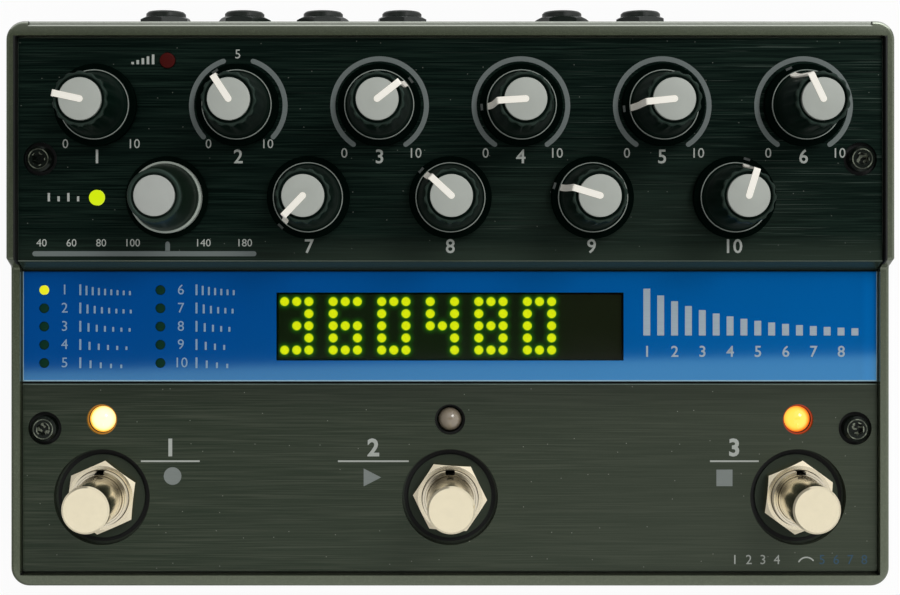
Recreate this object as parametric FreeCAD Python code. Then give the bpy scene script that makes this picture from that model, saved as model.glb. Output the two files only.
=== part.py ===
import FreeCAD, Part
import math
import os

# A delay pedal: a two-tier metal case with ten turning knobs, a push-and-turn
# encoder, a lit display strip and three footswitches.
# Millimetres. X runs to the right, Y to the back, Z up.
# The origin is at the middle of the footprint, on the surface that the feet stand on.

# Case
case_width = 190.5
corner_radius = 4.0
rim_height = 38.7
rear_tier_depth = 51.15
step_drop = 4.0
step_run = 1.8
side_wall = 2.0
front_wall = 2.3
rear_rim = 3.1
deck_thickness = 2.2
edge_radius = 0.7
foot_height = 3.6

# Base tray and back plate
tray_thickness = 0.8
back_plate_thickness = 0.8
back_plate_gap = 0.05
back_plate_setdown = 0.6
back_plate_bevel = 0.4
back_seam_bevel = 0.3
back_plate_corner_clearance = 0.8
back_plate_side_gap = 0.15
back_jamb_width = 5.0
back_window_rise = 8.5
stud_radius = 2.5
stud_inset_x = 15.0
stud_inset_y = 6.0

# Top panels
panel_thickness = 1.2
panel_drop = 1.5
panel_side_gap = 0.15
panel_rear_gap = 0.25
panel_front_gap = 0.55
panel_corner_radius = 0.5
pocket_corner_radius = 0.6
panel_bevel = 0.2
lip_setback = 0.27
lip_gap = 0.2
lip_foot_gap = 0.6
fascia_depth = 23.95
fascia_gap = 0.2
seam_gap = 0.5
front_panel_depth = 40.875

# Columns and screws that hold the top panels and the tray
column_radius = 3.6
column_inset = 7.05
column_web = 2.4
rear_column_setback = 29.55
front_column_setback = 9.675
screw_radius = 1.5
screw_length = 8.0
screw_head_radius = 2.75
screw_head_height = 3.0
screw_socket = 2.5
screw_socket_depth = 1.5
screw_chamfer = 0.5
screw_panel_hole_radius = 3.6
screw_fit = 0.02
screw_tip_gap = 0.5

# Rubber feet
foot_radius = 6.5
foot_inset_x = 14.0
foot_inset_y = 13.0
foot_chamfer = 0.8

# Circuit boards
board_thickness = 1.6
board_column_gap = 0.6
control_board_drop = 6.3
control_board_front_margin = 4.2
control_board_rear_margin = 12.2
main_board_depth = 42.65
main_board_rear_gap = 1.0

# Knob layout
knob_inset = 19.25
rear_row_setback = 18.05
row_spacing = 19.8
rear_row_angles = [167.7, 123.2, 38.0, 183.5, 185.9, 115.8]
front_row_angles = [226.3, 137.2, 163.1, 72.7]

# Knob
knob_radius = 8.84
knob_height = 16.0
knob_panel_gap = 0.8
knob_flange_height = 1.5
knob_shoulder_radius = 7.45
knob_shoulder_height = 2.25
knob_waist_radius = 6.15
knob_waist_height = 7.5
knob_top_radius = 5.66
knob_flange_round = 0.3
knob_chamfer = 0.3
knob_hollow_radius = 6.4
knob_hollow_height = 3.4
knob_recess_radius = 4.95
knob_recess_depth = 1.2
knob_rim_drop = 0.1
flute_count = 14
flute_radius = 1.3
flute_depth = 0.3
flute_foot = 3.5
flute_lean = 0.7
cap_radius = 4.39
encoder_cap_radius = 4.23
pointer_width = 1.37
pointer_reach = 5.94
pointer_thickness = 0.9
pointer_proud = 0.08
pointer_side_proud = 0.28
pointer_foot = 2.6
insert_gap = 0.02

# Potentiometers and encoder
pot_width = 9.5
pot_depth = 11.0
encoder_size = 12.0
bushing_radius = 3.5
bushing_rise = 3.4
bushing_clearance = 0.1
shaft_radius = 2.5
shaft_head_radius = 3.0
shaft_clearance = 0.05
shaft_fit = 0.02
shaft_insertion = 9.2
shaft_end_gap = 0.1
shaft_floor = 1.5
bushing_top_gap = 0.6
shaft_nut_flats = 10.0
shaft_nut_height = 2.0
encoder_travel = 0.5
encoder_stem_radius = 1.6
encoder_stem_height = 1.6
encoder_stem_gap = 0.1
encoder_cell_radius = 3.0

# Display
window_width = 75.4
window_depth = 14.6
window_gap = 0.1
display_deck_gap = 0.3
display_frame = 0.3

# Lamps
mode_led_radius = 1.0
mode_led_pitch = 3.97
mode_led_count = 5
mode_led_edge = 4.75
mode_led_column_spacing = 25.3
mode_led_proud = 0.15
peak_led_rise = 9.7
indicator_led_radius = 1.65
indicator_led_proud = 0.5
status_led_radius = 2.65
status_led_proud = 0.8
status_led_setback = 7.775
status_led_base_radius = 2.95
status_led_base_height = 1.0
status_led_panel_gap = 0.65
lamp_panel_gap = 0.08
lamp_deck_gap = 0.2

# Footswitches
footswitch_inset = 19.45
footswitch_row_spacing = 16.9
switch_body_size = 17.2
switch_body_height = 14.0
switch_lug_width = 2.0
switch_lug_thickness = 0.8
switch_lug_length = 3.5
switch_lug_pitch = 5.0
switch_bushing_radius = 6.0
switch_bushing_rise = 2.9
switch_bushing_clearance = 0.1
switch_key_width = 2.0
switch_key_depth = 0.65
switch_panel_hole_radius = 10.45
switch_counterbore_depth = 1.2
switch_washer_radius = 9.1
switch_washer_thickness = 0.7
switch_nut_flats = 14.0
switch_nut_height = 2.8
switch_nut_chamfer = 0.5
switch_nut_angles = [83.8, 56.2, 84.0]
plunger_radius = 5.0
plunger_rise = 16.5
plunger_head_height = 17.0
plunger_stem_radius = 4.0
plunger_clearance = 0.05
plunger_chamfer = 0.4
plunger_stem_length = 5.0
plunger_travel = 2.0
plunger_head_room = 0.5
plunger_bottom_room = 1.0

# Sockets in the back plate
jack_pitch = 17.8
jack_left_count = 4
jack_right_inset = 51.95
jack_right_count = 2
jack_drop = 19.1
jack_bore_radius = 3.25
jack_bore_length = 31.0
jack_bushing_radius = 4.45
jack_overhang = 4.5
jack_body_width = 12.0
jack_body_height = 11.8
jack_end_wall = 1.2
jack_nut_flats = 10.5
jack_nut_height = 3.3
jack_nut_crown_radius = 4.75
jack_nut_crown_height = 1.2
jack_nut_turn_step = 22
jack_hole_clearance = 0.15
jack_edge_chamfer = 0.4
inlet_inset = 13.35
inlet_body_width = 9.0
inlet_body_depth = 14.0
inlet_body_height = 11.0
inlet_collar_radius = 4.4
inlet_bore_radius = 3.15
inlet_bore_depth = 9.5
inlet_pin_radius = 1.0
inlet_pin_setback = 1.0

# Places worked out from the sizes above
half_width = case_width / 2
step_slope = step_run / step_drop
step_angle = math.atan(step_slope)
front_rim_height = rim_height - step_drop
rear_panel_top = rim_height - panel_drop
front_panel_top = front_rim_height - panel_drop
rear_deck_top = rear_panel_top - panel_thickness
front_deck_top = front_panel_top - panel_thickness
lip_foot_height = front_deck_top + lip_foot_gap
lip_depth = step_slope * (rim_height - lip_foot_height) - lip_setback
front_tier_depth = (lip_depth + fascia_gap + fascia_depth + seam_gap
                    + front_panel_depth + panel_front_gap + front_wall)
case_depth = rear_tier_depth + front_tier_depth
front_face = -(case_depth + jack_overhang) / 2
rear_face = front_face + case_depth
step_top = rear_face - rear_tier_depth
rear_deck_under = rear_deck_top - deck_thickness
front_deck_under = front_deck_top - deck_thickness
tray_top = foot_height + tray_thickness
pocket_half_width = half_width - side_wall
pocket_front = front_face + front_wall
pocket_rear = rear_face - rear_rim
back_plate_front = rear_face - back_plate_thickness
back_plate_half_width = half_width - corner_radius - back_plate_corner_clearance - back_plate_side_gap
panel_half_width = pocket_half_width - panel_side_gap
rear_panel_rear = pocket_rear - panel_rear_gap
lip_top = step_top - step_slope * panel_drop + lip_setback
lip_foot = step_top - lip_depth
fascia_rear = lip_foot - fascia_gap
fascia_front = fascia_rear - fascia_depth
fascia_middle = (fascia_rear + fascia_front) / 2
front_panel_rear = fascia_front - seam_gap
front_panel_front = front_panel_rear - front_panel_depth
column_x = half_width - column_inset
rear_column_y = rear_face - rear_column_setback
front_column_y = front_panel_rear - front_column_setback
column_places = [(side * column_x, y) for y in (rear_column_y, front_column_y) for side in (-1, 1)]
rear_row_y = rear_face - rear_row_setback
status_row_y = front_panel_rear - status_led_setback
board_half_width = column_x - column_radius - board_column_gap
control_board_top = rear_deck_under - control_board_drop
control_board_under = control_board_top - board_thickness
control_board_front = status_row_y - control_board_front_margin
control_board_rear = rear_row_y + control_board_rear_margin
jack_height = rim_height - jack_drop
main_board_top = jack_height - jack_body_height / 2
main_board_under = main_board_top - board_thickness
main_board_rear = pocket_rear - main_board_rear_gap
main_board_front = main_board_rear - main_board_depth
knob_pitch = 2 * (half_width - knob_inset) / (len(rear_row_angles) - 1)
front_row_y = rear_row_y - row_spacing
rear_row = [((i - (len(rear_row_angles) - 1) / 2) * knob_pitch, rear_row_y)
            for i in range(len(rear_row_angles))]
front_row = [((i - len(front_row_angles) / 2 + 1) * knob_pitch, front_row_y)
             for i in range(len(front_row_angles))]
encoder_place = (front_row[0][0] - knob_pitch, front_row_y)
knob_bottom = rear_panel_top + knob_panel_gap
knob_top = knob_bottom + knob_height
bushing_top = rear_panel_top + bushing_rise
shaft_top = knob_bottom + knob_hollow_height + shaft_insertion
shaft_bottom = control_board_top + shaft_floor
foot_row_y = status_row_y - footswitch_row_spacing
foot_places = [(side * (half_width - footswitch_inset), foot_row_y) for side in (-1, 0, 1)]
washer_bottom = front_deck_top - switch_counterbore_depth
washer_top = washer_bottom + switch_washer_thickness
switch_bushing_top = front_panel_top + switch_bushing_rise
plunger_top = front_panel_top + plunger_rise
plunger_head_bottom = plunger_top - plunger_head_height
plunger_stem_bottom = plunger_head_bottom - plunger_stem_length
inlet_x = inlet_inset - half_width
jack_places = ([inlet_x + (i + 1) * jack_pitch for i in range(jack_left_count)]
               + [half_width - jack_right_inset - i * jack_pitch for i in reversed(range(jack_right_count))])
jack_mouth = rear_face + jack_overhang
peak_led_place = (encoder_place[0], rear_row_y + peak_led_rise)
tempo_led_place = (rear_row[0][0], front_row_y)
mode_led_places = [(-panel_half_width + mode_led_edge + column * mode_led_column_spacing,
                    fascia_middle + (row - (mode_led_count - 1) / 2) * mode_led_pitch)
                   for column in range(2) for row in range(mode_led_count)]

# Modelling values that are no sizes of the pedal
cut_margin = 1.0
tolerance = 1e-6


def block(x0, x1, y0, y1, z0, z1):
    """A box between two corners."""
    return Part.makeBox(x1 - x0, y1 - y0, z1 - z0, FreeCAD.Vector(x0, y0, z0))


def centred_block(place, width, depth, z0, z1):
    """A box about a place in plan."""
    x, y = place
    return block(x - width / 2, x + width / 2, y - depth / 2, y + depth / 2, z0, z1)


def post(place, radius, z0, z1):
    """A round bar that stands along Z."""
    return Part.makeCylinder(radius, z1 - z0, FreeCAD.Vector(place[0], place[1], z0))


def rod(x, z, radius, y0, y1):
    """A round bar that lies along Y."""
    return Part.makeCylinder(radius, y1 - y0, FreeCAD.Vector(x, y0, z), FreeCAD.Vector(0, 1, 0))


def hexagon(flats, height, turn=0.0):
    """A hexagonal bar about Z, standing on the origin, with a flat towards the turn angle."""
    corner = flats / math.sqrt(3)
    angles = [math.radians(turn + 30 + 60 * i) for i in range(7)]
    points = [FreeCAD.Vector(corner * math.cos(a), corner * math.sin(a), 0) for a in angles]
    return Part.Face(Part.makePolygon(points)).extrude(FreeCAD.Vector(0, 0, height))


def at(shape, x, y, z):
    """A copy of a shape, moved."""
    copy = shape.copy()
    copy.translate(FreeCAD.Vector(x, y, z))
    return copy


def turned(shape, degrees):
    """A copy of a shape, turned about the vertical axis through the origin."""
    copy = shape.copy()
    copy.rotate(FreeCAD.Vector(0, 0, 0), FreeCAD.Vector(0, 0, 1), degrees)
    return copy


def along_x(points, x0, x1):
    """A prism along X with a given outline in Y and Z."""
    corners = [FreeCAD.Vector(x0, y, z) for y, z in points + points[:1]]
    return Part.Face(Part.makePolygon(corners)).extrude(FreeCAD.Vector(x1 - x0, 0, 0))


def vertical_edges(shape, chosen):
    """The upright edges whose place in plan passes a test."""
    edges = []
    for edge in shape.Edges:
        box = edge.BoundBox
        upright = box.ZLength > tolerance and box.XLength + box.YLength < tolerance
        if upright and chosen(box.Center.x, box.Center.y):
            edges.append(edge)
    return edges


def rounded_block(x0, x1, y0, y1, z0, z1, radius, chosen=lambda x, y: True):
    """A box with its upright edges rounded, or those of them that pass a test."""
    shape = block(x0, x1, y0, y1, z0, z1)
    return shape.makeFillet(radius, vertical_edges(shape, chosen))


def level_edges(shape, height):
    """The edges that lie at one height."""
    return [edge for edge in shape.Edges
            if abs(edge.BoundBox.ZMin - height) < tolerance and abs(edge.BoundBox.ZMax - height) < tolerance]


def bevel_top(shape, height, size):
    """A shape with the edges around its top face bevelled."""
    return shape.makeChamfer(size, level_edges(shape, height))


def lathe(points):
    """A solid of revolution about Z from an outline of radius and height."""
    corners = [FreeCAD.Vector(r, 0, z) for r, z in points + points[:1]]
    face = Part.Face(Part.makePolygon(corners))
    return face.revolve(FreeCAD.Vector(0, 0, 0), FreeCAD.Vector(0, 0, 1), 360)


def save(name, shape):
    """Write one sub-part, as one solid or as a group of separate solids."""
    solids = shape.Solids
    whole = solids[0] if len(solids) == 1 else Part.makeCompound(solids)
    whole.exportStep("parts/" + name + ".step")


def lip_line(height, offset):
    """Y of the sloped step at a height, a given distance behind the outer face of the lip."""
    return lip_top - step_slope * (rear_panel_top - height) + offset / math.cos(step_angle)


def columns():
    """Four full-height columns, each tied to its side wall by a web."""
    shapes = []
    for x, y in column_places:
        top = rear_deck_under if y > step_top else front_deck_under
        side = math.copysign(1, x)
        inside_wall = side * (half_width - side_wall / 2)
        shapes.append(post((x, y), column_radius, tray_top, top + deck_thickness / 2))
        shapes.append(block(min(x, inside_wall), max(x, inside_wall), y - column_web / 2,
                            y + column_web / 2, tray_top, top + deck_thickness / 2))
    return shapes


def deck_openings():
    """Every hole through the decks, for bushings, lamps and the display."""
    low = front_deck_under - cut_margin
    high = rim_height
    cuts = [post(place, bushing_radius + bushing_clearance, low, high)
            for place in rear_row + front_row + [encoder_place]]
    for x, y in foot_places:
        cuts.append(post((x, y), switch_bushing_radius + switch_bushing_clearance, low, high))
        cuts.append(post((x, y), switch_panel_hole_radius, washer_bottom, high))
        cuts.append(post((x, status_row_y), status_led_radius + lamp_deck_gap, low, high))
    for place in mode_led_places:
        cuts.append(post(place, mode_led_radius + lamp_deck_gap, low, high))
    for place in (peak_led_place, tempo_led_place):
        cuts.append(post(place, indicator_led_radius + lamp_deck_gap, low, high))
    cuts.append(centred_block((0, fascia_middle), window_width + 2 * display_deck_gap,
                              window_depth + 2 * display_deck_gap, low, high))
    return cuts


def screw_holes():
    """Threaded holes at both ends of every column."""
    cuts = []
    depth = screw_length + screw_tip_gap
    for x, y in column_places:
        top = rear_deck_top if y > step_top else front_deck_top
        cuts.append(post((x, y), screw_radius + screw_fit, top - depth, top + cut_margin))
        cuts.append(post((x, y), screw_radius + screw_fit, foot_height, foot_height + depth))
    return cuts


def housing():
    """The two-tier shell: rim, decks, side and front walls, columns and a window for the sockets."""
    outline = [(rear_face, tray_top), (rear_face, rim_height), (step_top, rim_height),
               (step_top - step_run, front_rim_height), (front_face, front_rim_height),
               (front_face, tray_top)]
    shell = along_x(outline, -half_width, half_width)
    plan = rounded_block(-half_width, half_width, front_face, rear_face, 0, rim_height + cut_margin,
                         corner_radius)
    shell = shell.common(plan)
    rim_edges = []
    for edge in shell.Edges:
        box = edge.BoundBox
        if box.ZMin > front_rim_height - cut_margin and edge.Length > edge_radius:
            rim_edges.append(edge)
    shell = shell.makeFillet(edge_radius, rim_edges)
    wall_offset = panel_thickness + lip_gap
    pocket = along_x([(pocket_rear, rim_height + cut_margin), (pocket_rear, rear_deck_top),
                      (lip_line(rear_deck_top, wall_offset), rear_deck_top),
                      (lip_line(front_deck_top, wall_offset), front_deck_top),
                      (pocket_front, front_deck_top), (pocket_front, rim_height + cut_margin)],
                     -pocket_half_width, pocket_half_width)
    cavity_offset = wall_offset + deck_thickness
    cavity = along_x([(pocket_rear, foot_height), (pocket_rear, rear_deck_under),
                      (lip_line(rear_deck_under, cavity_offset), rear_deck_under),
                      (lip_line(front_deck_under, cavity_offset), front_deck_under),
                      (pocket_front, front_deck_under), (pocket_front, foot_height)],
                     -pocket_half_width, pocket_half_width)
    inner_plan = rounded_block(-pocket_half_width, pocket_half_width, pocket_front, pocket_rear, 0,
                               rim_height + 2 * cut_margin, pocket_corner_radius)
    shell = shell.cut([pocket.common(inner_plan), cavity.common(inner_plan)])
    shell = shell.fuse(columns())
    recess_half = back_plate_half_width + back_plate_side_gap
    seat = back_plate_front - back_plate_gap
    recess = along_x([(seat, 0), (seat, rim_height - back_seam_bevel),
                      (seat - back_seam_bevel, rim_height),
                      (seat - back_seam_bevel, rim_height + cut_margin),
                      (rear_face + cut_margin, rim_height + cut_margin),
                      (rear_face + cut_margin, 0)], -recess_half, recess_half)
    window_half = pocket_half_width - back_jamb_width
    window = block(-window_half, window_half, pocket_rear - cut_margin, rear_face,
                   0, jack_height + back_window_rise)
    return shell.cut([recess, window] + deck_openings() + screw_holes()).removeSplitter()


def base_tray():
    """The floor and the studs that carry the main board."""
    floor = rounded_block(-half_width, half_width, front_face, rear_face, foot_height, tray_top,
                          corner_radius)
    studs = []
    for side in (-1, 1):
        x = side * (board_half_width - stud_inset_x)
        for y in (main_board_front + stud_inset_y, main_board_rear - stud_inset_y):
            studs.append(post((x, y), stud_radius, foot_height, main_board_under))
    cuts = [post(place, screw_radius + screw_fit, 0, tray_top + cut_margin) for place in column_places]
    return floor.fuse(studs).cut(cuts).removeSplitter()


def back_plate():
    """The plate that stands on the tray, closes the back and is clamped by the sockets' nuts."""
    top = rim_height - back_plate_setdown
    plate = along_x([(back_plate_front, tray_top), (back_plate_front, top),
                     (rear_face - back_plate_bevel, top), (rear_face, top - back_plate_bevel),
                     (rear_face, tray_top)], -back_plate_half_width, back_plate_half_width)
    low = back_plate_front - cut_margin
    cuts = [rod(x, jack_height, jack_bushing_radius + jack_hole_clearance, low, jack_mouth)
            for x in jack_places]
    cuts.append(rod(inlet_x, jack_height, inlet_collar_radius + jack_hole_clearance, low, jack_mouth))
    return plate.cut(cuts)


def screw():
    """A socket-head screw: its head stands on the origin and its shank hangs below."""
    head = post((0, 0), screw_head_radius, 0, screw_head_height)
    head = bevel_top(head, screw_head_height, screw_chamfer)
    shank = post((0, 0), screw_radius, -screw_length, 0)
    socket = at(hexagon(screw_socket, screw_socket_depth + cut_margin), 0, 0,
                screw_head_height - screw_socket_depth)
    return head.fuse(shank).cut(socket)


def case_screws():
    """Eight equal screws: four hold the panels from above, four hold the tray from below."""
    top_screw = screw()
    base_screw = top_screw.copy()
    base_screw.rotate(FreeCAD.Vector(0, 0, 0), FreeCAD.Vector(1, 0, 0), 180)
    shapes = []
    for x, y in column_places:
        seat = rear_deck_top if y > step_top else front_deck_top
        shapes.append(at(top_screw, x, y, seat))
        shapes.append(at(base_screw, x, y, foot_height))
    return Part.makeCompound(shapes)


def rubber_feet():
    """Four round feet with a bevelled sole."""
    shapes = []
    foot = lathe([(0, 0), (foot_radius - foot_chamfer, 0), (foot_radius, foot_chamfer),
                  (foot_radius, foot_height), (0, foot_height)])
    for x in (-half_width + foot_inset_x, half_width - foot_inset_x):
        for y in (front_face + foot_inset_y, rear_face - foot_inset_y):
            shapes.append(at(foot, x, y, 0))
    return Part.makeCompound(shapes)


def rear_panel():
    """The upper panel, whose front edge is bent down over the step."""
    plate = rounded_block(-panel_half_width, panel_half_width, lip_top, rear_panel_rear,
                          rear_deck_top, rear_panel_top, panel_corner_radius,
                          lambda x, y: y > lip_top + panel_corner_radius)
    plate = bevel_top(plate, rear_panel_top, panel_bevel)
    lip = along_x([(lip_line(rear_panel_top - panel_bevel, 0), rear_panel_top - panel_bevel),
                   (lip_line(lip_foot_height, 0), lip_foot_height),
                   (lip_line(lip_foot_height, panel_thickness), lip_foot_height),
                   (lip_line(rear_deck_top, panel_thickness), rear_deck_top),
                   (lip_line(rear_panel_top - panel_bevel, panel_thickness), rear_panel_top - panel_bevel)],
                  -panel_half_width + panel_bevel, panel_half_width - panel_bevel)
    cuts = [post(place, bushing_radius + bushing_clearance, rear_deck_under, rim_height)
            for place in rear_row + front_row + [encoder_place]]
    cuts += [post(place, indicator_led_radius + lamp_panel_gap, rear_deck_under, rim_height)
             for place in (peak_led_place, tempo_led_place)]
    cuts += [post(place, screw_panel_hole_radius, rear_deck_under, rim_height)
             for place in column_places if place[1] > step_top]
    return plate.fuse(lip).cut(cuts).removeSplitter()


def front_panel():
    """The lower panel around the footswitches."""
    plate = rounded_block(-panel_half_width, panel_half_width, front_panel_front, front_panel_rear,
                          front_deck_top, front_panel_top, panel_corner_radius,
                          lambda x, y: y < front_panel_front + panel_corner_radius)
    plate = bevel_top(plate, front_panel_top, panel_bevel)
    cuts = []
    for x, y in foot_places:
        cuts.append(post((x, y), switch_panel_hole_radius, front_deck_under, rim_height))
        cuts.append(post((x, status_row_y), status_led_radius + status_led_panel_gap,
                         front_deck_under, rim_height))
    cuts += [post(place, screw_panel_hole_radius, front_deck_under, rim_height)
             for place in column_places if place[1] < step_top]
    return plate.cut(cuts)


def display_fascia():
    """The glossy strip across the middle, cut out for the window and the mode lamps."""
    plate = block(-panel_half_width, panel_half_width, fascia_front, fascia_rear,
                  front_deck_top, front_panel_top)
    plate = bevel_top(plate, front_panel_top, panel_bevel)
    cuts = [centred_block((0, fascia_middle), window_width + 2 * window_gap,
                          window_depth + 2 * window_gap, front_deck_under, rim_height)]
    cuts += [post(place, mode_led_radius + lamp_panel_gap, front_deck_under, rim_height)
             for place in mode_led_places]
    return plate.cut(cuts)


def display_window():
    """The smoked window, set flush in the fascia on top of the display."""
    return centred_block((0, fascia_middle), window_width, window_depth, front_deck_top, front_panel_top)


def display_module():
    """The dot display, standing on the control board under its window."""
    return centred_block((0, fascia_middle), window_width - 2 * display_frame,
                         window_depth - 2 * display_frame, control_board_top, front_deck_top)


def status_leds():
    """Three domed lamps behind the footswitches."""
    top = front_panel_top + status_led_proud
    shapes = []
    for x, _ in foot_places:
        place = (x, status_row_y)
        lamp = post(place, status_led_base_radius, control_board_top,
                    control_board_top + status_led_base_height)
        lamp = lamp.fuse(post(place, status_led_radius, control_board_top, top - status_led_radius))
        dome = Part.makeSphere(status_led_radius, FreeCAD.Vector(x, status_row_y, top - status_led_radius))
        shapes.append(lamp.fuse(dome).removeSplitter())
    return Part.makeCompound(shapes)


def small_lamp(place, radius, top):
    """A slim lamp on the control board with a low dome."""
    lamp = post(place, radius, control_board_top, top)
    return lamp.makeFillet(mode_led_proud, level_edges(lamp, top))


def small_leds():
    """The ten mode lamps of the fascia and the two lamps of the upper panel."""
    shapes = [small_lamp(place, mode_led_radius, front_panel_top + mode_led_proud)
              for place in mode_led_places]
    shapes += [small_lamp(place, indicator_led_radius, rear_panel_top + indicator_led_proud)
               for place in (peak_led_place, tempo_led_place)]
    return Part.makeCompound(shapes)


def bushed_body(place, width, depth):
    """A control's body on the board, with a threaded bushing up through deck and panel."""
    body = centred_block(place, width, depth, control_board_top, rear_deck_under)
    body = body.fuse(post(place, bushing_radius, rear_deck_under, bushing_top))
    bore = post(place, shaft_radius + shaft_clearance, shaft_bottom - shaft_end_gap,
                bushing_top + cut_margin)
    return body.cut(bore)


def potentiometers():
    """Ten equal potentiometer bodies."""
    return Part.makeCompound([bushed_body(place, pot_width, pot_depth) for place in rear_row + front_row])


def encoder_housing():
    """The encoder's body, with a cell below its shaft for the push stem."""
    body = bushed_body(encoder_place, encoder_size, encoder_size)
    cell_floor = shaft_bottom - encoder_travel - encoder_stem_gap
    cell_top = shaft_bottom + encoder_stem_height + encoder_travel
    return body.cut(post(encoder_place, encoder_cell_radius, cell_floor, cell_top))


def shaft_nuts():
    """The nuts that hold the potentiometers and the encoder to the upper panel."""
    blank = hexagon(shaft_nut_flats, shaft_nut_height)
    nut = blank.cut(post((0, 0), bushing_radius + screw_fit, -cut_margin, shaft_nut_height + cut_margin))
    return Part.makeCompound([at(nut, x, y, rear_panel_top)
                              for x, y in rear_row + front_row + [encoder_place]])


def pot_shaft(bottom):
    """A control shaft: a running journal in the bushing and a thicker head for the knob."""
    journal = post((0, 0), shaft_radius, bottom, bushing_top + bushing_top_gap)
    head = post((0, 0), shaft_head_radius, bushing_top + bushing_top_gap, shaft_top)
    return journal.fuse(head)


def knob_blank(fluted):
    """A knob standing on the origin: flange, shoulder and concave waist, hollow below."""
    rim = knob_height - knob_rim_drop
    flange_top = knob_flange_height + knob_flange_round
    shoulder_foot = knob_shoulder_radius + knob_chamfer
    points = [(0, 0), (knob_radius, 0), (knob_radius, knob_flange_height),
              (knob_radius - knob_flange_round, flange_top),
              (shoulder_foot, knob_shoulder_height - knob_chamfer),
              (knob_shoulder_radius, knob_shoulder_height)]
    vectors = [FreeCAD.Vector(r, 0, z) for r, z in points]
    waist = FreeCAD.Vector(knob_waist_radius, 0, knob_waist_height)
    lip = FreeCAD.Vector(knob_top_radius, 0, rim)
    floor = knob_height - knob_recess_depth
    inner = [lip, FreeCAD.Vector(knob_recess_radius, 0, rim),
             FreeCAD.Vector(knob_recess_radius, 0, floor), FreeCAD.Vector(0, 0, floor), vectors[0]]
    side = Part.Arc(vectors[-1], waist, lip).toShape()
    wire = Part.Wire(Part.makePolygon(vectors).Edges + [side] + Part.makePolygon(inner).Edges)
    knob = Part.Face(wire).revolve(FreeCAD.Vector(0, 0, 0), FreeCAD.Vector(0, 0, 1), 360)
    cuts = [post((0, 0), knob_hollow_radius, -cut_margin, knob_hollow_height),
            post((0, 0), shaft_head_radius + shaft_fit, -cut_margin,
                 shaft_top - knob_bottom + shaft_end_gap)]
    if fluted:
        cuts += flutes()
    return knob.cut(cuts)


def flutes():
    """Leaning round bars whose outlines make the flutes of a knob's grip."""
    cuts = []
    reach = knob_top_radius + flute_radius - flute_depth
    rise = knob_height + cut_margin - flute_foot
    for i in range(flute_count):
        foot = FreeCAD.Vector(reach + flute_lean, 0, flute_foot)
        lean = FreeCAD.Vector(-flute_lean, 0, rise)
        bar = Part.makeCylinder(flute_radius, lean.Length, foot, lean)
        cuts.append(turned(bar, (i + 0.5) * 360 / flute_count))
    return cuts


def pointer_side(outer, foot, half, spread):
    """The part of the pointer, or of its slot, that runs down the knob's side."""
    inner_top = FreeCAD.Vector(knob_recess_radius - spread, -half, knob_height + pointer_proud + spread)
    inner_foot = FreeCAD.Vector(knob_hollow_radius - spread, -half, foot + cut_margin)
    ends = Part.makePolygon([outer[-1], inner_top, inner_foot, outer[0]]).Edges
    return Part.Face(Part.Wire(pointer_edge(outer) + ends)).extrude(FreeCAD.Vector(0, 2 * half, 0))


def pointer_edge(points):
    """One arc through three points, or straight runs through any other number."""
    if len(points) == 3:
        return [Part.Arc(*points).toShape()]
    return Part.makePolygon(points).Edges


def pointer():
    """The pointer: a bar from the middle of the cap outwards and down the knob's side."""
    half = pointer_width / 2
    top = knob_height + pointer_proud
    bar = block(0, pointer_reach, -half, half, top - pointer_thickness, top)
    bar = bar.fuse(post((0, 0), half, top - pointer_thickness, top))
    outer = [FreeCAD.Vector(knob_shoulder_radius, -half, pointer_foot),
             FreeCAD.Vector(knob_waist_radius + pointer_side_proud, -half, knob_waist_height),
             FreeCAD.Vector(pointer_reach, -half, top)]
    return bar.fuse(pointer_side(outer, pointer_foot, half, 0)).removeSplitter()


def pointer_slot():
    """The space that a pointer needs in its knob and cap."""
    half = pointer_width / 2 + insert_gap
    top = knob_height + pointer_proud
    floor = top - pointer_thickness - insert_gap
    slot = block(0, knob_radius, -half, half, floor, top + cut_margin)
    slot = slot.fuse(post((0, 0), half, floor, top + cut_margin))
    foot = pointer_foot - insert_gap
    outer = [FreeCAD.Vector(knob_shoulder_radius, -half, foot), FreeCAD.Vector(knob_radius, -half, foot),
             FreeCAD.Vector(knob_radius, -half, top),
             FreeCAD.Vector(knob_top_radius, -half, top + insert_gap)]
    return slot.fuse(pointer_side(outer, foot, half, insert_gap))


def save_rotary(name, place, angle, blank, cap, bottom, marker=None):
    """Write a knob, its cap with the pointer, and its shaft, turned to the pointer's angle."""
    x, y = place
    save(name, at(turned(blank, angle), x, y, knob_bottom))
    pieces = [cap] if marker is None else [cap, marker]
    save(name + "_cap", at(turned(Part.makeCompound(pieces), angle), x, y, knob_bottom))
    save(name + "_shaft", at(pot_shaft(bottom), x, y, 0))


def save_knobs():
    """Write the ten pointer knobs and the encoder's plain knob."""
    cap_floor = knob_height - knob_recess_depth
    slot = pointer_slot()
    blank = knob_blank(True).cut(slot)
    cap = post((0, 0), cap_radius, cap_floor, knob_height).cut(slot)
    marker = pointer()
    rows = (("rear", rear_row, rear_row_angles), ("front", front_row, front_row_angles))
    for row, places, angles in rows:
        for i, (place, angle) in enumerate(zip(places, angles)):
            save_rotary(row + "_knob_" + str(i + 1), place, angle, blank, cap, shaft_bottom, marker)
    plain_cap = post((0, 0), encoder_cap_radius, cap_floor, knob_height)
    save_rotary("encoder_knob", encoder_place, 0, knob_blank(False), plain_cap,
                shaft_bottom + encoder_stem_height)


def encoder_push_stem():
    """The stem below the encoder's shaft that presses its switch and doesn't turn."""
    return post(encoder_place, encoder_stem_radius, shaft_bottom, shaft_bottom + encoder_stem_height)


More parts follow.
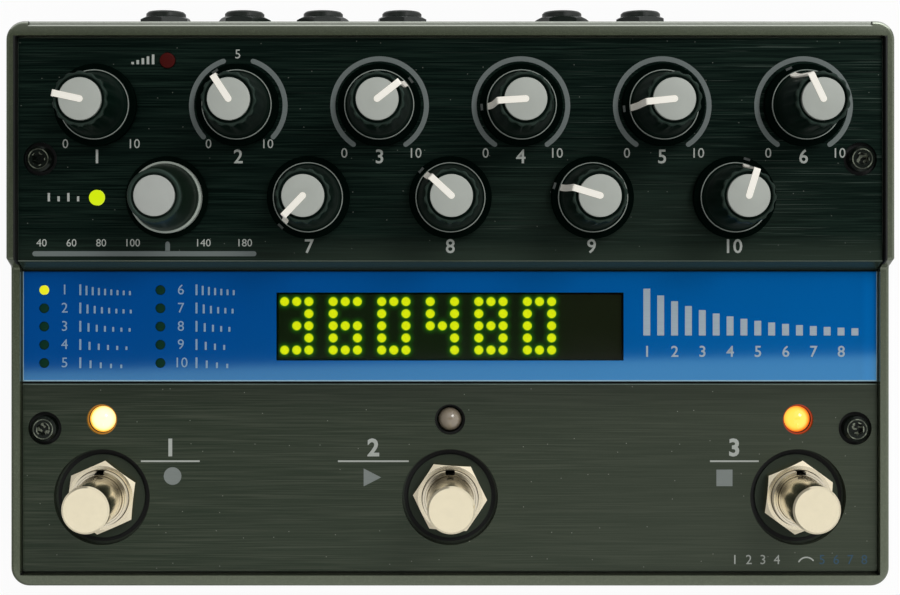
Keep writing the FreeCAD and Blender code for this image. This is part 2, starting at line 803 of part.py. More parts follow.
def footswitch_bodies():
    """Three footswitch bodies, each with a keyed bushing and nine solder lugs."""
    top = front_deck_under
    bottom = top - switch_body_height
    shapes = []
    for place in foot_places:
        x, y = place
        body = centred_block(place, switch_body_size, switch_body_size, bottom, top)
        body = body.fuse(post(place, switch_bushing_radius, top, switch_bushing_top))
        for i in (-1, 0, 1):
            for j in (-1, 0, 1):
                lug = (x + i * switch_lug_pitch, y + j * switch_lug_pitch)
                body = body.fuse(centred_block(lug, switch_lug_width, switch_lug_thickness,
                                               bottom - switch_lug_length, bottom))
        key = block(x - switch_key_width / 2, x + switch_key_width / 2,
                    y + switch_bushing_radius - switch_key_depth, y + switch_bushing_radius + cut_margin,
                    top, switch_bushing_top + cut_margin)
        head_bore = post(place, plunger_radius + plunger_clearance,
                         plunger_head_bottom - plunger_travel - plunger_head_room,
                         switch_bushing_top + cut_margin)
        stem_bore = post(place, plunger_stem_radius + plunger_clearance,
                         plunger_stem_bottom - plunger_travel - plunger_bottom_room,
                         switch_bushing_top + cut_margin)
        shapes.append(body.cut([key, head_bore, stem_bore]))
    return Part.makeCompound(shapes)


def footswitch_washers():
    """Three dark washers in the counterbores of the lower deck."""
    shapes = []
    for place in foot_places:
        ring = post(place, switch_washer_radius, washer_bottom, washer_top)
        shapes.append(ring.cut(post(place, switch_bushing_radius + screw_fit, washer_bottom - cut_margin,
                                    washer_top + cut_margin)))
    return Part.makeCompound(shapes)


def footswitch_nuts():
    """Three hexagon nuts with bevelled corners, each at its own angle."""
    shapes = []
    corner = switch_nut_flats / math.sqrt(3)
    cone = lathe([(0, 0), (corner, 0), (corner, switch_nut_height - switch_nut_chamfer),
                  (switch_nut_flats / 2, switch_nut_height), (0, switch_nut_height)])
    for (x, y), angle in zip(foot_places, switch_nut_angles):
        nut = hexagon(switch_nut_flats, switch_nut_height, angle - 30).common(cone)
        nut = nut.cut(post((0, 0), switch_bushing_radius + screw_fit, -cut_margin,
                           switch_nut_height + cut_margin))
        shapes.append(at(nut, x, y, washer_top))
    return Part.makeCompound(shapes)


def save_plungers():
    """Write the three footswitch plungers: a head that slides in the bushing, on a narrower stem."""
    head = post((0, 0), plunger_radius, plunger_head_bottom, plunger_top)
    head = bevel_top(head, plunger_top, plunger_chamfer)
    plunger = head.fuse(post((0, 0), plunger_stem_radius, plunger_stem_bottom, plunger_head_bottom))
    for i, (x, y) in enumerate(foot_places):
        save("footswitch_plunger_" + str(i + 1), at(plunger, x, y, 0))


def control_board():
    """The board under the decks that carries the controls, the lamps and the display."""
    return block(-board_half_width, board_half_width, control_board_front,
                 control_board_rear, control_board_under, control_board_top)


def main_board():
    """The board on the tray's studs that carries the sockets."""
    return block(-board_half_width, board_half_width, main_board_front, main_board_rear,
                 main_board_under, main_board_top)


def phone_jacks():
    """Six jack sockets: a body on the main board and a bushing out through the back plate."""
    shapes = []
    end = jack_mouth - jack_bore_length
    half = jack_body_width / 2
    for x in jack_places:
        body = block(x - half, x + half, end - jack_end_wall, back_plate_front,
                     main_board_top, main_board_top + jack_body_height)
        bushing = rod(x, jack_height, jack_bushing_radius, back_plate_front, jack_mouth)
        edges = [edge for edge in bushing.Edges if edge.BoundBox.YMin > jack_mouth - tolerance]
        bushing = bushing.makeChamfer(jack_edge_chamfer, edges)
        bore = rod(x, jack_height, jack_bore_radius, end, jack_mouth + cut_margin)
        shapes.append(body.fuse(bushing).cut(bore))
    return Part.makeCompound(shapes)


def jack_nuts():
    """Six plastic nuts on the jack bushings, crowned towards the mouths, each turned a little further."""
    reach = jack_nut_flats / math.sqrt(3) + cut_margin
    crown = lathe([(0, 0), (reach, 0), (reach, jack_nut_height - jack_nut_crown_height),
                   (jack_nut_crown_radius, jack_nut_height), (0, jack_nut_height)])
    hole = post((0, 0), jack_bushing_radius + screw_fit, -cut_margin, jack_nut_height + cut_margin)
    nuts = []
    for i, x in enumerate(jack_places):
        nut = hexagon(jack_nut_flats, jack_nut_height, i * jack_nut_turn_step).common(crown).cut(hole)
        nut.rotate(FreeCAD.Vector(0, 0, 0), FreeCAD.Vector(1, 0, 0), -90)
        nuts.append(at(nut, x, rear_face, jack_height))
    return Part.makeCompound(nuts)


def dc_inlet():
    """The power inlet: a body, a collar flush with the back plate, and a centre pin."""
    half = inlet_body_width / 2
    body = block(inlet_x - half, inlet_x + half, back_plate_front - inlet_body_depth, back_plate_front,
                 main_board_top, main_board_top + inlet_body_height)
    collar = rod(inlet_x, jack_height, inlet_collar_radius, back_plate_front, rear_face)
    floor = rear_face - inlet_bore_depth
    bore = rod(inlet_x, jack_height, inlet_bore_radius, floor, rear_face + cut_margin)
    pin = rod(inlet_x, jack_height, inlet_pin_radius, floor, rear_face - inlet_pin_setback)
    return body.fuse(collar).cut(bore.cut(pin))


os.makedirs("parts", exist_ok=True)
for build in (housing, base_tray, back_plate, case_screws, rubber_feet, rear_panel, front_panel,
              display_fascia, display_window, display_module, status_leds, small_leds, potentiometers,
              encoder_housing, shaft_nuts, encoder_push_stem, footswitch_bodies, footswitch_washers,
              footswitch_nuts, control_board, main_board, phone_jacks, jack_nuts, dc_inlet):
    save(build.__name__, build())
save_knobs()
save_plungers()
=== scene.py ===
"""A delay pedal on a pale floor, seen from straight above in soft studio light.

Lengths are millimetres in the frame that the solids share: X runs to the right, Y to the
back and Z up. Meshes are built in millimetres and brought to metres when their object is made.
"""

import logging
import math
from collections.abc import Iterable
from dataclasses import dataclass, field
from enum import Enum
from typing import Protocol

import bmesh
import bpy
from mathutils import Matrix, Vector


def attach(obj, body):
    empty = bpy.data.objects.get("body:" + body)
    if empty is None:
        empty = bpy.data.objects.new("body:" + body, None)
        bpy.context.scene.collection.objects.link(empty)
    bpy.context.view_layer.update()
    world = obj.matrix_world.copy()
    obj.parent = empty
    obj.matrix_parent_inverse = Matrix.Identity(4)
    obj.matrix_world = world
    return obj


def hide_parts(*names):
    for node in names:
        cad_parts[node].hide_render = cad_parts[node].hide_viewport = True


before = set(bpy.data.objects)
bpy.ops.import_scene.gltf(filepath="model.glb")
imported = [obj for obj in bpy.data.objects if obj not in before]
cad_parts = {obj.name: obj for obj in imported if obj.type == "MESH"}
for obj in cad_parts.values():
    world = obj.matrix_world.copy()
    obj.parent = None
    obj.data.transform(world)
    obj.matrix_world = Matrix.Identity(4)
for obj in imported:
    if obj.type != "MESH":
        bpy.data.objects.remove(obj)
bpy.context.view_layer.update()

LOG = logging.getLogger("pedal")
MM = 0.001
ROOT = "pedal_body"
GLOW = "glow"
WELD = 1e-4

# Places that several assemblies share: the footswitches' pitch along X, the rows of knobs
# and switches along Y, the panels' upper sides, and the middle of the display strip with
# the pitch of its lamps.
SWITCH_PITCH = 75.8
SWITCH_ROW = -44.2
REAR_ROW = 40.7
FRONT_ROW = 20.9
REAR_TOP = 37.2
FRONT_TOP = 33.2
STRIP_MIDDLE = -7.05
MODE_PITCH = 3.97
MODE_ROWS = 5

Socket = bpy.types.NodeSocket
Triple = tuple[float, float, float]
Colour = Triple
Value = float | Colour | Socket
Point = tuple[float, float]

WHITE: Colour = (1.0, 1.0, 1.0)
BLACK: Colour = (0.0, 0.0, 0.0)


def scaled(colour: Colour, factor: float, lift: float = 0.0) -> Colour:
    """A colour made darker or lighter."""
    return tuple(min(1.0, factor * part + lift) for part in colour)


def mode_row_place(row: int) -> float:
    """The place along Y of a row of mode lamps, counted from the back."""
    return STRIP_MIDDLE + (MODE_ROWS // 2 - row) * MODE_PITCH


# Node graphs


class Graph:
    """The node graph of one material or world, built a step at a time."""

    def __init__(self, name: str, holders: bpy.types.bpy_prop_collection | None = None) -> None:
        """Starts an empty graph.

        Args:
            name: The name of the material or world.
            holders: Where it is made, or None for the materials.
        """
        self.holder = (bpy.data.materials if holders is None else holders).new(name)
        self.holder.use_nodes = True
        self.tree = self.holder.node_tree
        self.tree.nodes.clear()

    def add(self, kind: str, **settings: object) -> bpy.types.Node:
        """Adds a node.

        Args:
            kind: The node's type.
            **settings: Properties to set on it.

        Returns:
            The node.
        """
        node = self.tree.nodes.new(kind)
        for key, value in settings.items():
            setattr(node, key, value)
        return node

    def feed(self, socket: Socket, value: Value) -> None:
        """Links a socket into an input, or sets the input to a constant.

        Args:
            socket: The input.
            value: An output socket, a number or a colour.
        """
        if isinstance(value, bpy.types.NodeSocket):
            self.tree.links.new(value, socket)
        elif isinstance(value, tuple) and len(socket.default_value) == 4:
            socket.default_value = (*value, 1.0)
        else:
            socket.default_value = value

    def place(self, scale: Triple = WHITE) -> Socket:
        """The place on the object in millimetres.

        Args:
            scale: Factors along X, Y and Z, to stretch a pattern.

        Returns:
            The place's socket.
        """
        coords = self.add("ShaderNodeTexCoord")
        mapping = self.add("ShaderNodeMapping")
        self.feed(mapping.inputs["Scale"], scaled_to_metres(scale))
        self.feed(mapping.inputs["Vector"], coords.outputs["Object"])
        return mapping.outputs["Vector"]

    def part(self, vector: Socket, name: str) -> Socket:
        """The X, Y or Z part of a vector.

        Args:
            vector: The vector.
            name: The part's letter.

        Returns:
            The part's socket.
        """
        split = self.add("ShaderNodeSeparateXYZ")
        self.feed(split.inputs[0], vector)
        return split.outputs[name]

    def axis(self, name: str) -> Socket:
        """The X, Y or Z coordinate in millimetres."""
        return self.part(self.place(), name)

    def upward(self) -> Socket:
        """How far the surface faces up, from -1 to 1."""
        return self.part(self.add("ShaderNodeNewGeometry").outputs["Normal"], "Z")

    def noise(self, scale: float, stretch: Triple = WHITE, detail: float = 2.0) -> Socket:
        """A noise pattern between 0 and 1.

        Args:
            scale: Bumps per millimetre.
            stretch: Factors along X, Y and Z.
            detail: How many finer layers it has.

        Returns:
            The pattern's socket.
        """
        node = self.add("ShaderNodeTexNoise")
        self.feed(node.inputs["Vector"], self.place(stretch))
        self.feed(node.inputs["Scale"], scale)
        self.feed(node.inputs["Detail"], detail)
        return node.outputs["Fac"]

    def cells(self, scale: float, dimensions: str = "3D") -> bpy.types.Node:
        """A cell pattern.

        Args:
            scale: Cells per millimetre.
            dimensions: "3D", or "2D" for columns along Z.

        Returns:
            The node, with its Distance and a random Color for each cell.
        """
        node = self.add("ShaderNodeTexVoronoi", voronoi_dimensions=dimensions)
        self.feed(node.inputs["Vector"], self.place())
        self.feed(node.inputs["Scale"], scale)
        return node

    def band(self, value: Value, low: Value, high: Value, start: float = 0.0,
             end: float = 1.0) -> Socket:
        """A smooth step of a value.

        Args:
            value: The value that is read.
            low: Where the step starts.
            high: Where the step ends.
            start: The result at and before low.
            end: The result at and past high.

        Returns:
            The step's socket.
        """
        node = self.add("ShaderNodeMapRange", interpolation_type="SMOOTHSTEP")
        for name, given in (("Value", value), ("From Min", low), ("From Max", high),
                            ("To Min", start), ("To Max", end)):
            self.feed(node.inputs[name], given)
        return node.outputs["Result"]

    def calc(self, operation: str, first: Value, *others: Value) -> Socket:
        """The result of a sum such as ADD, SUBTRACT or GREATER_THAN.

        Args:
            operation: The kind of sum.
            first: The first value.
            *others: The values that it takes in, one after the other.

        Returns:
            The result's socket.
        """
        for other in others or (0.0,):
            node = self.add("ShaderNodeMath", operation=operation)
            self.feed(node.inputs[0], first)
            self.feed(node.inputs[1], other)
            first = node.outputs[0]
        return first

    def times(self, *factors: Value) -> Socket:
        """The product of two or more values."""
        return self.calc("MULTIPLY", *factors)

    def within(self, value: Value, low: float, high: float) -> Socket:
        """1 where a value lies between two limits, 0 elsewhere."""
        return self.times(self.calc("GREATER_THAN", value, low),
                          self.calc("LESS_THAN", value, high))

    def mix(self, share: Value, first: Value, second: Value) -> Socket:
        """A blend of two colours.

        Args:
            share: The share of the second colour.
            first: The first colour.
            second: The second colour.

        Returns:
            The blend's socket.
        """
        node = self.add("ShaderNodeMix", data_type="RGBA")
        self.feed(node.inputs["Factor"], share)
        self.feed(node.inputs[6], first)
        self.feed(node.inputs[7], second)
        return node.outputs[2]

    def bump(self, height: Value, depth: float, strength: float = 1.0,
             normal: Socket | None = None) -> Socket:
        """A bumped normal.

        Args:
            height: The height pattern.
            depth: The height of the pattern's full range in millimetres.
            strength: The share of the bump that is used.
            normal: A normal that the bump adds to.

        Returns:
            The normal's socket.
        """
        node = self.add("ShaderNodeBump")
        self.feed(node.inputs["Height"], height)
        self.feed(node.inputs["Distance"], depth * MM)
        self.feed(node.inputs["Strength"], strength)
        if normal is not None:
            self.feed(node.inputs["Normal"], normal)
        return node.outputs["Normal"]

    def bevel_share(self) -> Socket:
        """1 on surfaces that lean about halfway, such as bevelled edges, and 0 elsewhere."""
        lean = self.upward()
        return self.times(self.band(lean, 0.5, 0.6), self.band(lean, 0.9, 0.98, 1.0, 0.0))

    def reach(self, across: Value, along: Value) -> Socket:
        """The distance that two offsets at right angles make."""
        return self.calc("SQRT", self.calc("ADD", self.times(across, across),
                                           self.times(along, along)))

    def switch_offsets(self) -> tuple[Socket, Socket]:
        """How far X and Y are from the nearest footswitch.

        Returns:
            The sockets of both offsets.
        """
        # Ten whole pitches keep the sum above zero, and half a pitch puts each switch mid-turn.
        turn = self.calc("ADD", self.calc("DIVIDE", self.axis("X"), SWITCH_PITCH), 10.5)
        across = self.times(self.calc("SUBTRACT", self.calc("FRACT", turn), 0.5), SWITCH_PITCH)
        return across, self.calc("SUBTRACT", self.axis("Y"), SWITCH_ROW)

    def principled(self, colour: Value, rough: Value, normal: Socket | None = None,
                   **inputs: Value) -> Socket:
        """A Principled shader.

        Args:
            colour: The base colour.
            rough: The roughness.
            normal: The normal, or None for the mesh's own.
            **inputs: Other inputs, named with underscores for spaces.

        Returns:
            The shader's socket.
        """
        node = self.add("ShaderNodeBsdfPrincipled")
        self.feed(node.inputs["Base Color"], colour)
        self.feed(node.inputs["Roughness"], rough)
        if normal is not None:
            self.feed(node.inputs["Normal"], normal)
        for name, value in inputs.items():
            self.feed(node.inputs[name.replace("_", " ")], value)
        return node.outputs[0]

    def blend(self, share: Value, first: Socket, second: Socket) -> Socket:
        """A blend of two shaders.

        Args:
            share: The share of the second shader.
            first: The first shader.
            second: The second shader.

        Returns:
            The blend's socket.
        """
        node = self.add("ShaderNodeMixShader")
        for socket, value in zip(node.inputs, (share, first, second)):
            self.feed(socket, value)
        return node.outputs[0]

    def finish(self, surface: Socket, output: str = "ShaderNodeOutputMaterial") -> bpy.types.ID:
        """Closes the graph with the surface's shader and returns the material or world."""
        self.feed(self.add(output).inputs["Surface"], surface)
        return self.holder


def scaled_to_metres(scale: Triple) -> Triple:
    """Factors for millimetres, as factors for Blender's metres."""
    return tuple(part / MM for part in scale)


@dataclass(frozen=True)
class Fade:
    """A smooth step along an axis, from one share to another."""

    axis: str
    low: float
    high: float
    first: float = 0.0
    last: float = 1.0

    def share(self, g: Graph) -> Socket:
        """Builds the step in a graph."""
        return g.band(g.axis(self.axis), self.low, self.high, self.first, self.last)


# Finishes


class Finish(Protocol):
    """What every finish has: its material's name, and a way to build it."""

    name: str

    def material(self) -> bpy.types.Material:
        """Builds the material."""


@dataclass(frozen=True)
class MetallicPaint:
    """Sprayed enamel with metal flakes under a satin clear coat."""

    name: str
    colour: Colour
    flake: Colour
    rough: float = 0.27
    metallic: float = 0.6
    coat: float = 0.5
    flake_scale: float = 6.5
    # Painted shade: the pocket seen through the panels' holes is near-black, and a dimmer painted
    # light lies on the far wall of each footswitch's hole, between the two radii.
    primer: Colour = (0.0004, 0.0012, 0.0006)
    ledge: Colour = (0.020, 0.029, 0.018)
    ledge_radii: Point = (10.0, 11.0)
    pocket: Triple | None = None
    pocket_step: Point = (6.5, 0.42)
    # Painted highlights: the slope round the seam, the front and right fades and the crest take
    # the highlight colour.
    seam: float | None = None
    seam_slope: Triple = (-1.4, 1.0, 0.16)
    front_wear: Fade = Fade("Y", -57.0, -62.0, 0.0, 0.05)
    right_wear: Fade = Fade("X", 80.0, 96.0, 0.0, 0.06)
    crest: float | None = None
    crest_colour: Colour = (0.65, 0.69, 0.60)

    def material(self) -> bpy.types.Material:
        """Builds the material.

        Returns:
            The material.
        """
        g = Graph(self.name)
        flakes = g.cells(self.flake_scale)
        lit = g.band(g.calc("FRACT", g.times(flakes.outputs["Color"], 7.3)), 0.55, 1.0)
        cloud = g.noise(0.12, detail=4.0)
        base = g.mix(g.times(cloud, 0.35), self.colour, scaled(self.colour, 0.7))
        colour = g.mix(g.times(lit, 0.3), base, self.flake)
        # Painted highlights along the back seam and its bevels, toward the front and the right,
        # and above the crest height.
        if self.seam is not None:
            colour = g.mix(self.worn_share(g), colour, self.crest_colour)
        if self.crest is not None:
            colour = g.mix(g.calc("GREATER_THAN", g.axis("Z"), self.crest), colour,
                           g.mix(g.noise(1.2, detail=3.0), self.crest_colour,
                                 scaled(self.crest_colour, 0.7)))
        rough: Value = self.rough
        metal: Value = self.metallic
        coat: Value = self.coat
        # Painted shade in the pocket, with painted light on each footswitch's far wall; there the
        # paint loses its metal and coat.
        if self.pocket is not None:
            inside = self.pocket_share(g)
            ledge = g.within(g.reach(*g.switch_offsets()), *self.ledge_radii)
            colour = g.mix(inside, colour, g.mix(ledge, self.primer, self.ledge))
            rough = g.calc("ADD", self.rough, g.times(inside, 0.4))
            paint = g.calc("SUBTRACT", 1.0, inside)
            metal, coat = g.times(self.metallic, paint), g.times(self.coat, paint)
        skin = g.bump(g.noise(2.2, detail=1.0), 0.008, 0.3)
        facets = g.bump(flakes.outputs["Distance"], 0.006, 0.15, skin)
        return g.finish(g.principled(colour, rough, facets, Metallic=metal, Coat_Weight=coat,
                                     Coat_Roughness=0.14))

    def worn_share(self, g: Graph) -> Socket:
        """How much painted highlight the paint gets: along the back seam and its bevels, and
        toward the front and the right.

        Args:
            g: The graph that is being built.

        Returns:
            The share's socket.
        """
        back = g.calc("GREATER_THAN", g.axis("Y"), self.seam)
        start, end, most = self.seam_slope
        slope = g.band(g.axis("Y"), self.seam + start, self.seam + end, 0.0, most)
        level = g.calc("ADD", slope, self.front_wear.share(g), self.right_wear.share(g))
        return g.calc("MAXIMUM", g.times(g.bevel_share(), back), level)

    def pocket_share(self, g: Graph) -> Socket:
        """1 inside the panels' pocket, which is painted near-black as shade, and 0 outside it.

        Args:
            g: The graph that is being built.

        Returns:
            The share's socket.
        """
        half, front, back = self.pocket
        step, wider = self.pocket_step
        wide = g.calc("ADD", g.times(g.calc("GREATER_THAN", g.axis("Y"), step), wider), half)
        across = g.calc("LESS_THAN", g.calc("ABSOLUTE", g.axis("X")), wide)
        return g.times(across, g.within(g.axis("Y"), front, back))


@dataclass(frozen=True)
class BrushedAnodised:
    """Brushed and anodised sheet whose streaks run along X."""

    name: str
    colour: Colour
    right: Colour
    streak: Colour
    speck: Colour
    # The bevels' colour is bare metal on the cut edges and a painted highlight.
    edge: Colour = (0.30, 0.35, 0.29)
    edge_metallic: float = 0.8
    # Painted light on the lip and on the front part and middle of the rear panel.
    fold: Colour = (0.030, 0.044, 0.032)
    tint: Colour = (0.72, 1.0, 0.85)
    rough: float = 0.34
    shine: float = 0.15
    metallic: float = 0.2
    grain: Triple = (0.06, 5.5, 5.5)
    waves: Triple = (0.03, 0.9, 0.9)
    lip: Point | None = None
    fold_fades: tuple[tuple[Fade, ...], ...] = (
        (Fade("Y", 14.5, 7.5, 0.0, 0.8), Fade("X", -70.0, 0.0, 0.35, 1.0)),
        (Fade("Y", 36.0, 14.0, 0.0, 0.36), Fade("X", -30.0, 40.0),
         Fade("X", 50.0, 86.0, 1.0, 0.1)))
    # A painted highlight line along the back edge, stronger to the right.
    back: float | None = None
    back_fade: Fade = Fade("X", -70.0, 75.0, 0.1, 1.0)
    # Fine scratches with a painted glint, brighter to the right.
    scratch: Fade | None = None
    scratch_grain: Triple = (0.05, 6.0, 6.0)
    scratch_colour: Colour = (0.10, 0.13, 0.11)
    shade: Fade | None = None

    def material(self) -> bpy.types.Material:
        """Builds the material.

        Returns:
            The material.
        """
        g = Graph(self.name)
        fine = g.noise(1.0, self.grain)
        streaks = g.times(g.band(fine, 0.36, 0.68),
                          g.band(g.noise(1.0, self.waves), 0.35, 0.65, 0.55, 1.0))
        # Painted light: the sheet is lighter toward the right.
        ground = g.mix(Fade("X", -95.0, 95.0).share(g), self.colour, self.right)
        colour = g.mix(streaks, ground, self.streak)
        # Fine scratches with a painted glint, brighter to the right.
        if self.scratch is not None:
            lines = g.band(g.noise(1.0, self.scratch_grain, 1.0), 0.66, 0.72)
            colour = g.mix(g.times(lines, self.scratch.share(g)), colour, self.scratch_colour)
        if self.shade is not None:
            colour = g.mix(self.shade.share(g), colour, BLACK)
        colour = g.mix(self.dust_share(g), colour, self.speck)
        # The bevels get the edge colour: bare metal with a painted highlight.
        bevel = g.bevel_share()
        colour = g.mix(bevel, colour, self.edge)
        rough: Value = g.calc("ADD", g.times(fine, 0.12), self.rough - 0.06)
        # Painted light on the lip and on the front part and middle of the rear panel.
        if self.lip is not None:
            flat = Fade("Y", *self.lip).share(g)
            rough = g.times(rough, g.band(flat, 0.0, 1.0, 0.75, 1.0))
            shares = [g.times(*(fade.share(g) for fade in fades)) for fades in self.fold_fades]
            colour = g.mix(g.calc("MAXIMUM", *shares), colour, self.fold)
            colour = g.mix(flat, g.mix(bevel, self.fold, self.edge), colour)
        # Painted highlight along the back edge.
        if self.back is not None:
            line = g.calc("GREATER_THAN", g.axis("Y"), self.back)
            colour = g.mix(g.times(line, self.back_fade.share(g)), colour, self.edge)
        metal = g.band(bevel, 0.0, 1.0, self.metallic, self.edge_metallic)
        return g.finish(g.principled(colour, rough, g.bump(fine, 0.02, 0.5), Metallic=metal,
                                     Specular_IOR_Level=self.shine, Specular_Tint=self.tint))

    def dust_share(self, g: Graph) -> Socket:
        """Where the few specks of dust lie: at the middle of about half the cells.

        Args:
            g: The graph that is being built.

        Returns:
            The share's socket.
        """
        cells = g.cells(0.16, "2D")
        chosen = g.calc("GREATER_THAN", cells.outputs["Color"], 0.45)
        return g.times(chosen, g.band(cells.outputs["Distance"], 0.008, 0.022, 1.0, 0.0), 0.8)


@dataclass(frozen=True)
class Acrylic:
    """A glossy tinted sheet, with painted light that makes it lighter to the right and near its
    right end, and painted highlights on its edges.
    """

    name: str
    colour: Colour
    right: Colour
    edge: Colour
    gloss: Colour
    half: float
    front: float
    line: float = 0.3
    end_strip: Point = (4.0, 2.0)
    ior: float = 1.92

    def material(self) -> bpy.types.Material:
        """Builds the material.

        Returns:
            The material.
        """
        g = Graph(self.name)
        # Painted light: lighter to the right.
        colour = g.mix(Fade("X", -self.half, self.half).share(g), self.colour, self.right)
        colour = g.mix(g.times(g.noise(0.03), 0.3), colour, scaled(self.colour, 0.7))
        # Painted light near the right end.
        start, end = self.end_strip
        glow = Fade("X", self.half - start, self.half - end, 0.0, 0.5).share(g)
        colour = g.mix(glow, colour, scaled(self.right, 1.25))
        # Painted highlight on the ends and the front edge.
        ends = g.calc("GREATER_THAN", g.calc("ABSOLUTE", g.axis("X")), self.half - self.line)
        lip = g.calc("LESS_THAN", g.axis("Y"), self.front + self.line)
        colour = g.mix(g.calc("MAXIMUM", ends, lip), colour, self.edge)
        normal = g.bump(g.noise(0.25, detail=1.0), 0.002, 0.15)
        rough = g.calc("ADD", g.times(g.noise(3.0), 0.02), 0.03)
        return g.finish(g.principled(colour, rough, normal, IOR=self.ior,
                                     Specular_IOR_Level=1.0, Specular_Tint=self.gloss))


@dataclass(frozen=True)
class SmokedPane:
    """A dark clear pane that lets the lit dots through."""

    name: str
    tint: Colour
    film: Colour
    right_film: Colour
    film_share: float = 0.12
    film_fade: Fade = Fade("X", 17.0, 29.0)
    ior: float = 1.35

    def material(self) -> bpy.types.Material:
        """Builds the material.

        Returns:
            The material.
        """
        g = Graph(self.name)
        through = g.add("ShaderNodeBsdfTransparent")
        g.feed(through.inputs["Color"], self.tint)
        smear = g.noise(0.2, detail=3.0)
        haze = g.mix(self.film_fade.share(g), self.film, self.right_film)
        film = g.principled(g.mix(g.times(smear, 0.3), haze, BLACK), 0.5,
                            Specular_IOR_Level=0.0)
        body = g.blend(self.film_share, through.outputs[0], film)
        shine = g.add("ShaderNodeBsdfGlossy")
        g.feed(shine.inputs["Color"], WHITE)
        g.feed(shine.inputs["Roughness"], g.band(smear, 0.0, 1.0, 0.03, 0.08))
        facing = g.add("ShaderNodeFresnel")
        g.feed(facing.inputs["IOR"], self.ior)
        # Only the outer side shines, or the pane would mirror itself and hide the dots.
        outside = g.calc("SUBTRACT", 1.0, g.add("ShaderNodeNewGeometry").outputs["Backfacing"])
        return g.finish(g.blend(g.times(facing.outputs[0], outside), body, shine.outputs[0]))


@dataclass(frozen=True)
class Plastic:
    """Moulded plastic with a fine skin."""

    name: str
    colour: Colour
    rough: float
    skin: float = 0.006
    grain: float = 1.6
    coat: float = 0.0
    shine: float = 0.5
    # A faint glow in the part's own colour: painted light.
    lift: float = 0.0

    def material(self) -> bpy.types.Material:
        """Builds the material.

        Returns:
            The material.
        """
        g = Graph(self.name)
        grain = g.noise(self.grain, detail=3.0)
        wear = g.noise(0.3)
        colour = g.mix(g.times(wear, 0.4), self.colour, scaled(self.colour, 1.3, 0.002))
        rough = g.calc("ADD", g.times(wear, 0.1), self.rough - 0.05)
        return g.finish(g.principled(colour, rough, g.bump(grain, self.skin, 0.6),
                                     Coat_Weight=self.coat, Coat_Roughness=0.06,
                                     Specular_IOR_Level=self.shine,
                                     Emission_Color=self.colour, Emission_Strength=self.lift))


@dataclass(frozen=True)
class KnobPlastic:
    """Glossy knob plastic, with painted highlights on the bead and in patches on the crown, and a
    dull skirt painted near-black as shade.
    """

    name: str
    colour: Colour
    # The bead's colour is a painted highlight on a band of heights and leans.
    bead: Colour
    bead_heights: Point
    bead_lean: Point
    skirt_top: float
    crown: Point
    # The crest colour is a painted highlight in patches on the crown.
    crest: Colour = (0.020, 0.030, 0.024)
    # The skirt is painted dull and near-black as shade.
    skirt: tuple[Colour, Colour] = ((0.0004, 0.0022, 0.0014), (0.001, 0.0035, 0.0025))
    skirt_share: float = 0.96
    tint: Colour = (0.6, 1.0, 0.85)
    rough: float = 0.3
    shine: float = 0.2

    def material(self) -> bpy.types.Material:
        """Builds the material.

        Returns:
            The material.
        """
        g = Graph(self.name)
        height = g.axis("Z")
        wear = g.noise(0.3)
        # Painted highlight on the bead.
        bead = g.times(g.within(height, *self.bead_heights),
                       g.band(g.upward(), *self.bead_lean))
        colour = g.mix(bead, g.mix(wear, self.colour, scaled(self.colour, 1.6)), self.bead)
        # Painted highlight in patches on the crown.
        top = g.band(height, *self.crown)
        worn = g.band(g.noise(0.22, detail=1.0), 0.46, 0.62, 0.7, 2.4)
        colour = g.mix(g.times(top, worn), colour, self.crest)
        rough = g.calc("ADD", g.times(top, 0.15), g.times(wear, 0.1), self.rough - 0.05)
        normal = g.bump(g.noise(2.0, detail=1.0), 0.001, 0.2)
        body = g.principled(colour, rough, normal, Specular_IOR_Level=self.shine,
                            Specular_Tint=self.tint)
        # Painted shade: the skirt is dull and near-black.
        skirt_shade = g.add("ShaderNodeBsdfDiffuse")
        g.feed(skirt_shade.inputs["Color"], g.mix(wear, *self.skirt))
        low = g.calc("LESS_THAN", height, self.skirt_top)
        return g.finish(g.blend(g.times(low, self.skirt_share), body, skirt_shade.outputs[0]))


@dataclass(frozen=True)
class Worn:
    """The matt parts of a switch's metal: the leaning faces that lie far enough out."""

    rising: Point
    falling: Point
    reach_from: float
    matt: float = 0.8
    rougher: float = 0.3

    def share(self, g: Graph, reach: Socket) -> Socket:
        """How matt a surface is.

        Args:
            g: The graph that is being built.
            reach: The distance from the nearest footswitch.

        Returns:
            The share's socket.
        """
        return g.times(g.band(g.upward(), *self.rising),
                       g.band(g.upward(), *self.falling, 1.0, 0.0),
                       g.calc("GREATER_THAN", reach, self.reach_from))


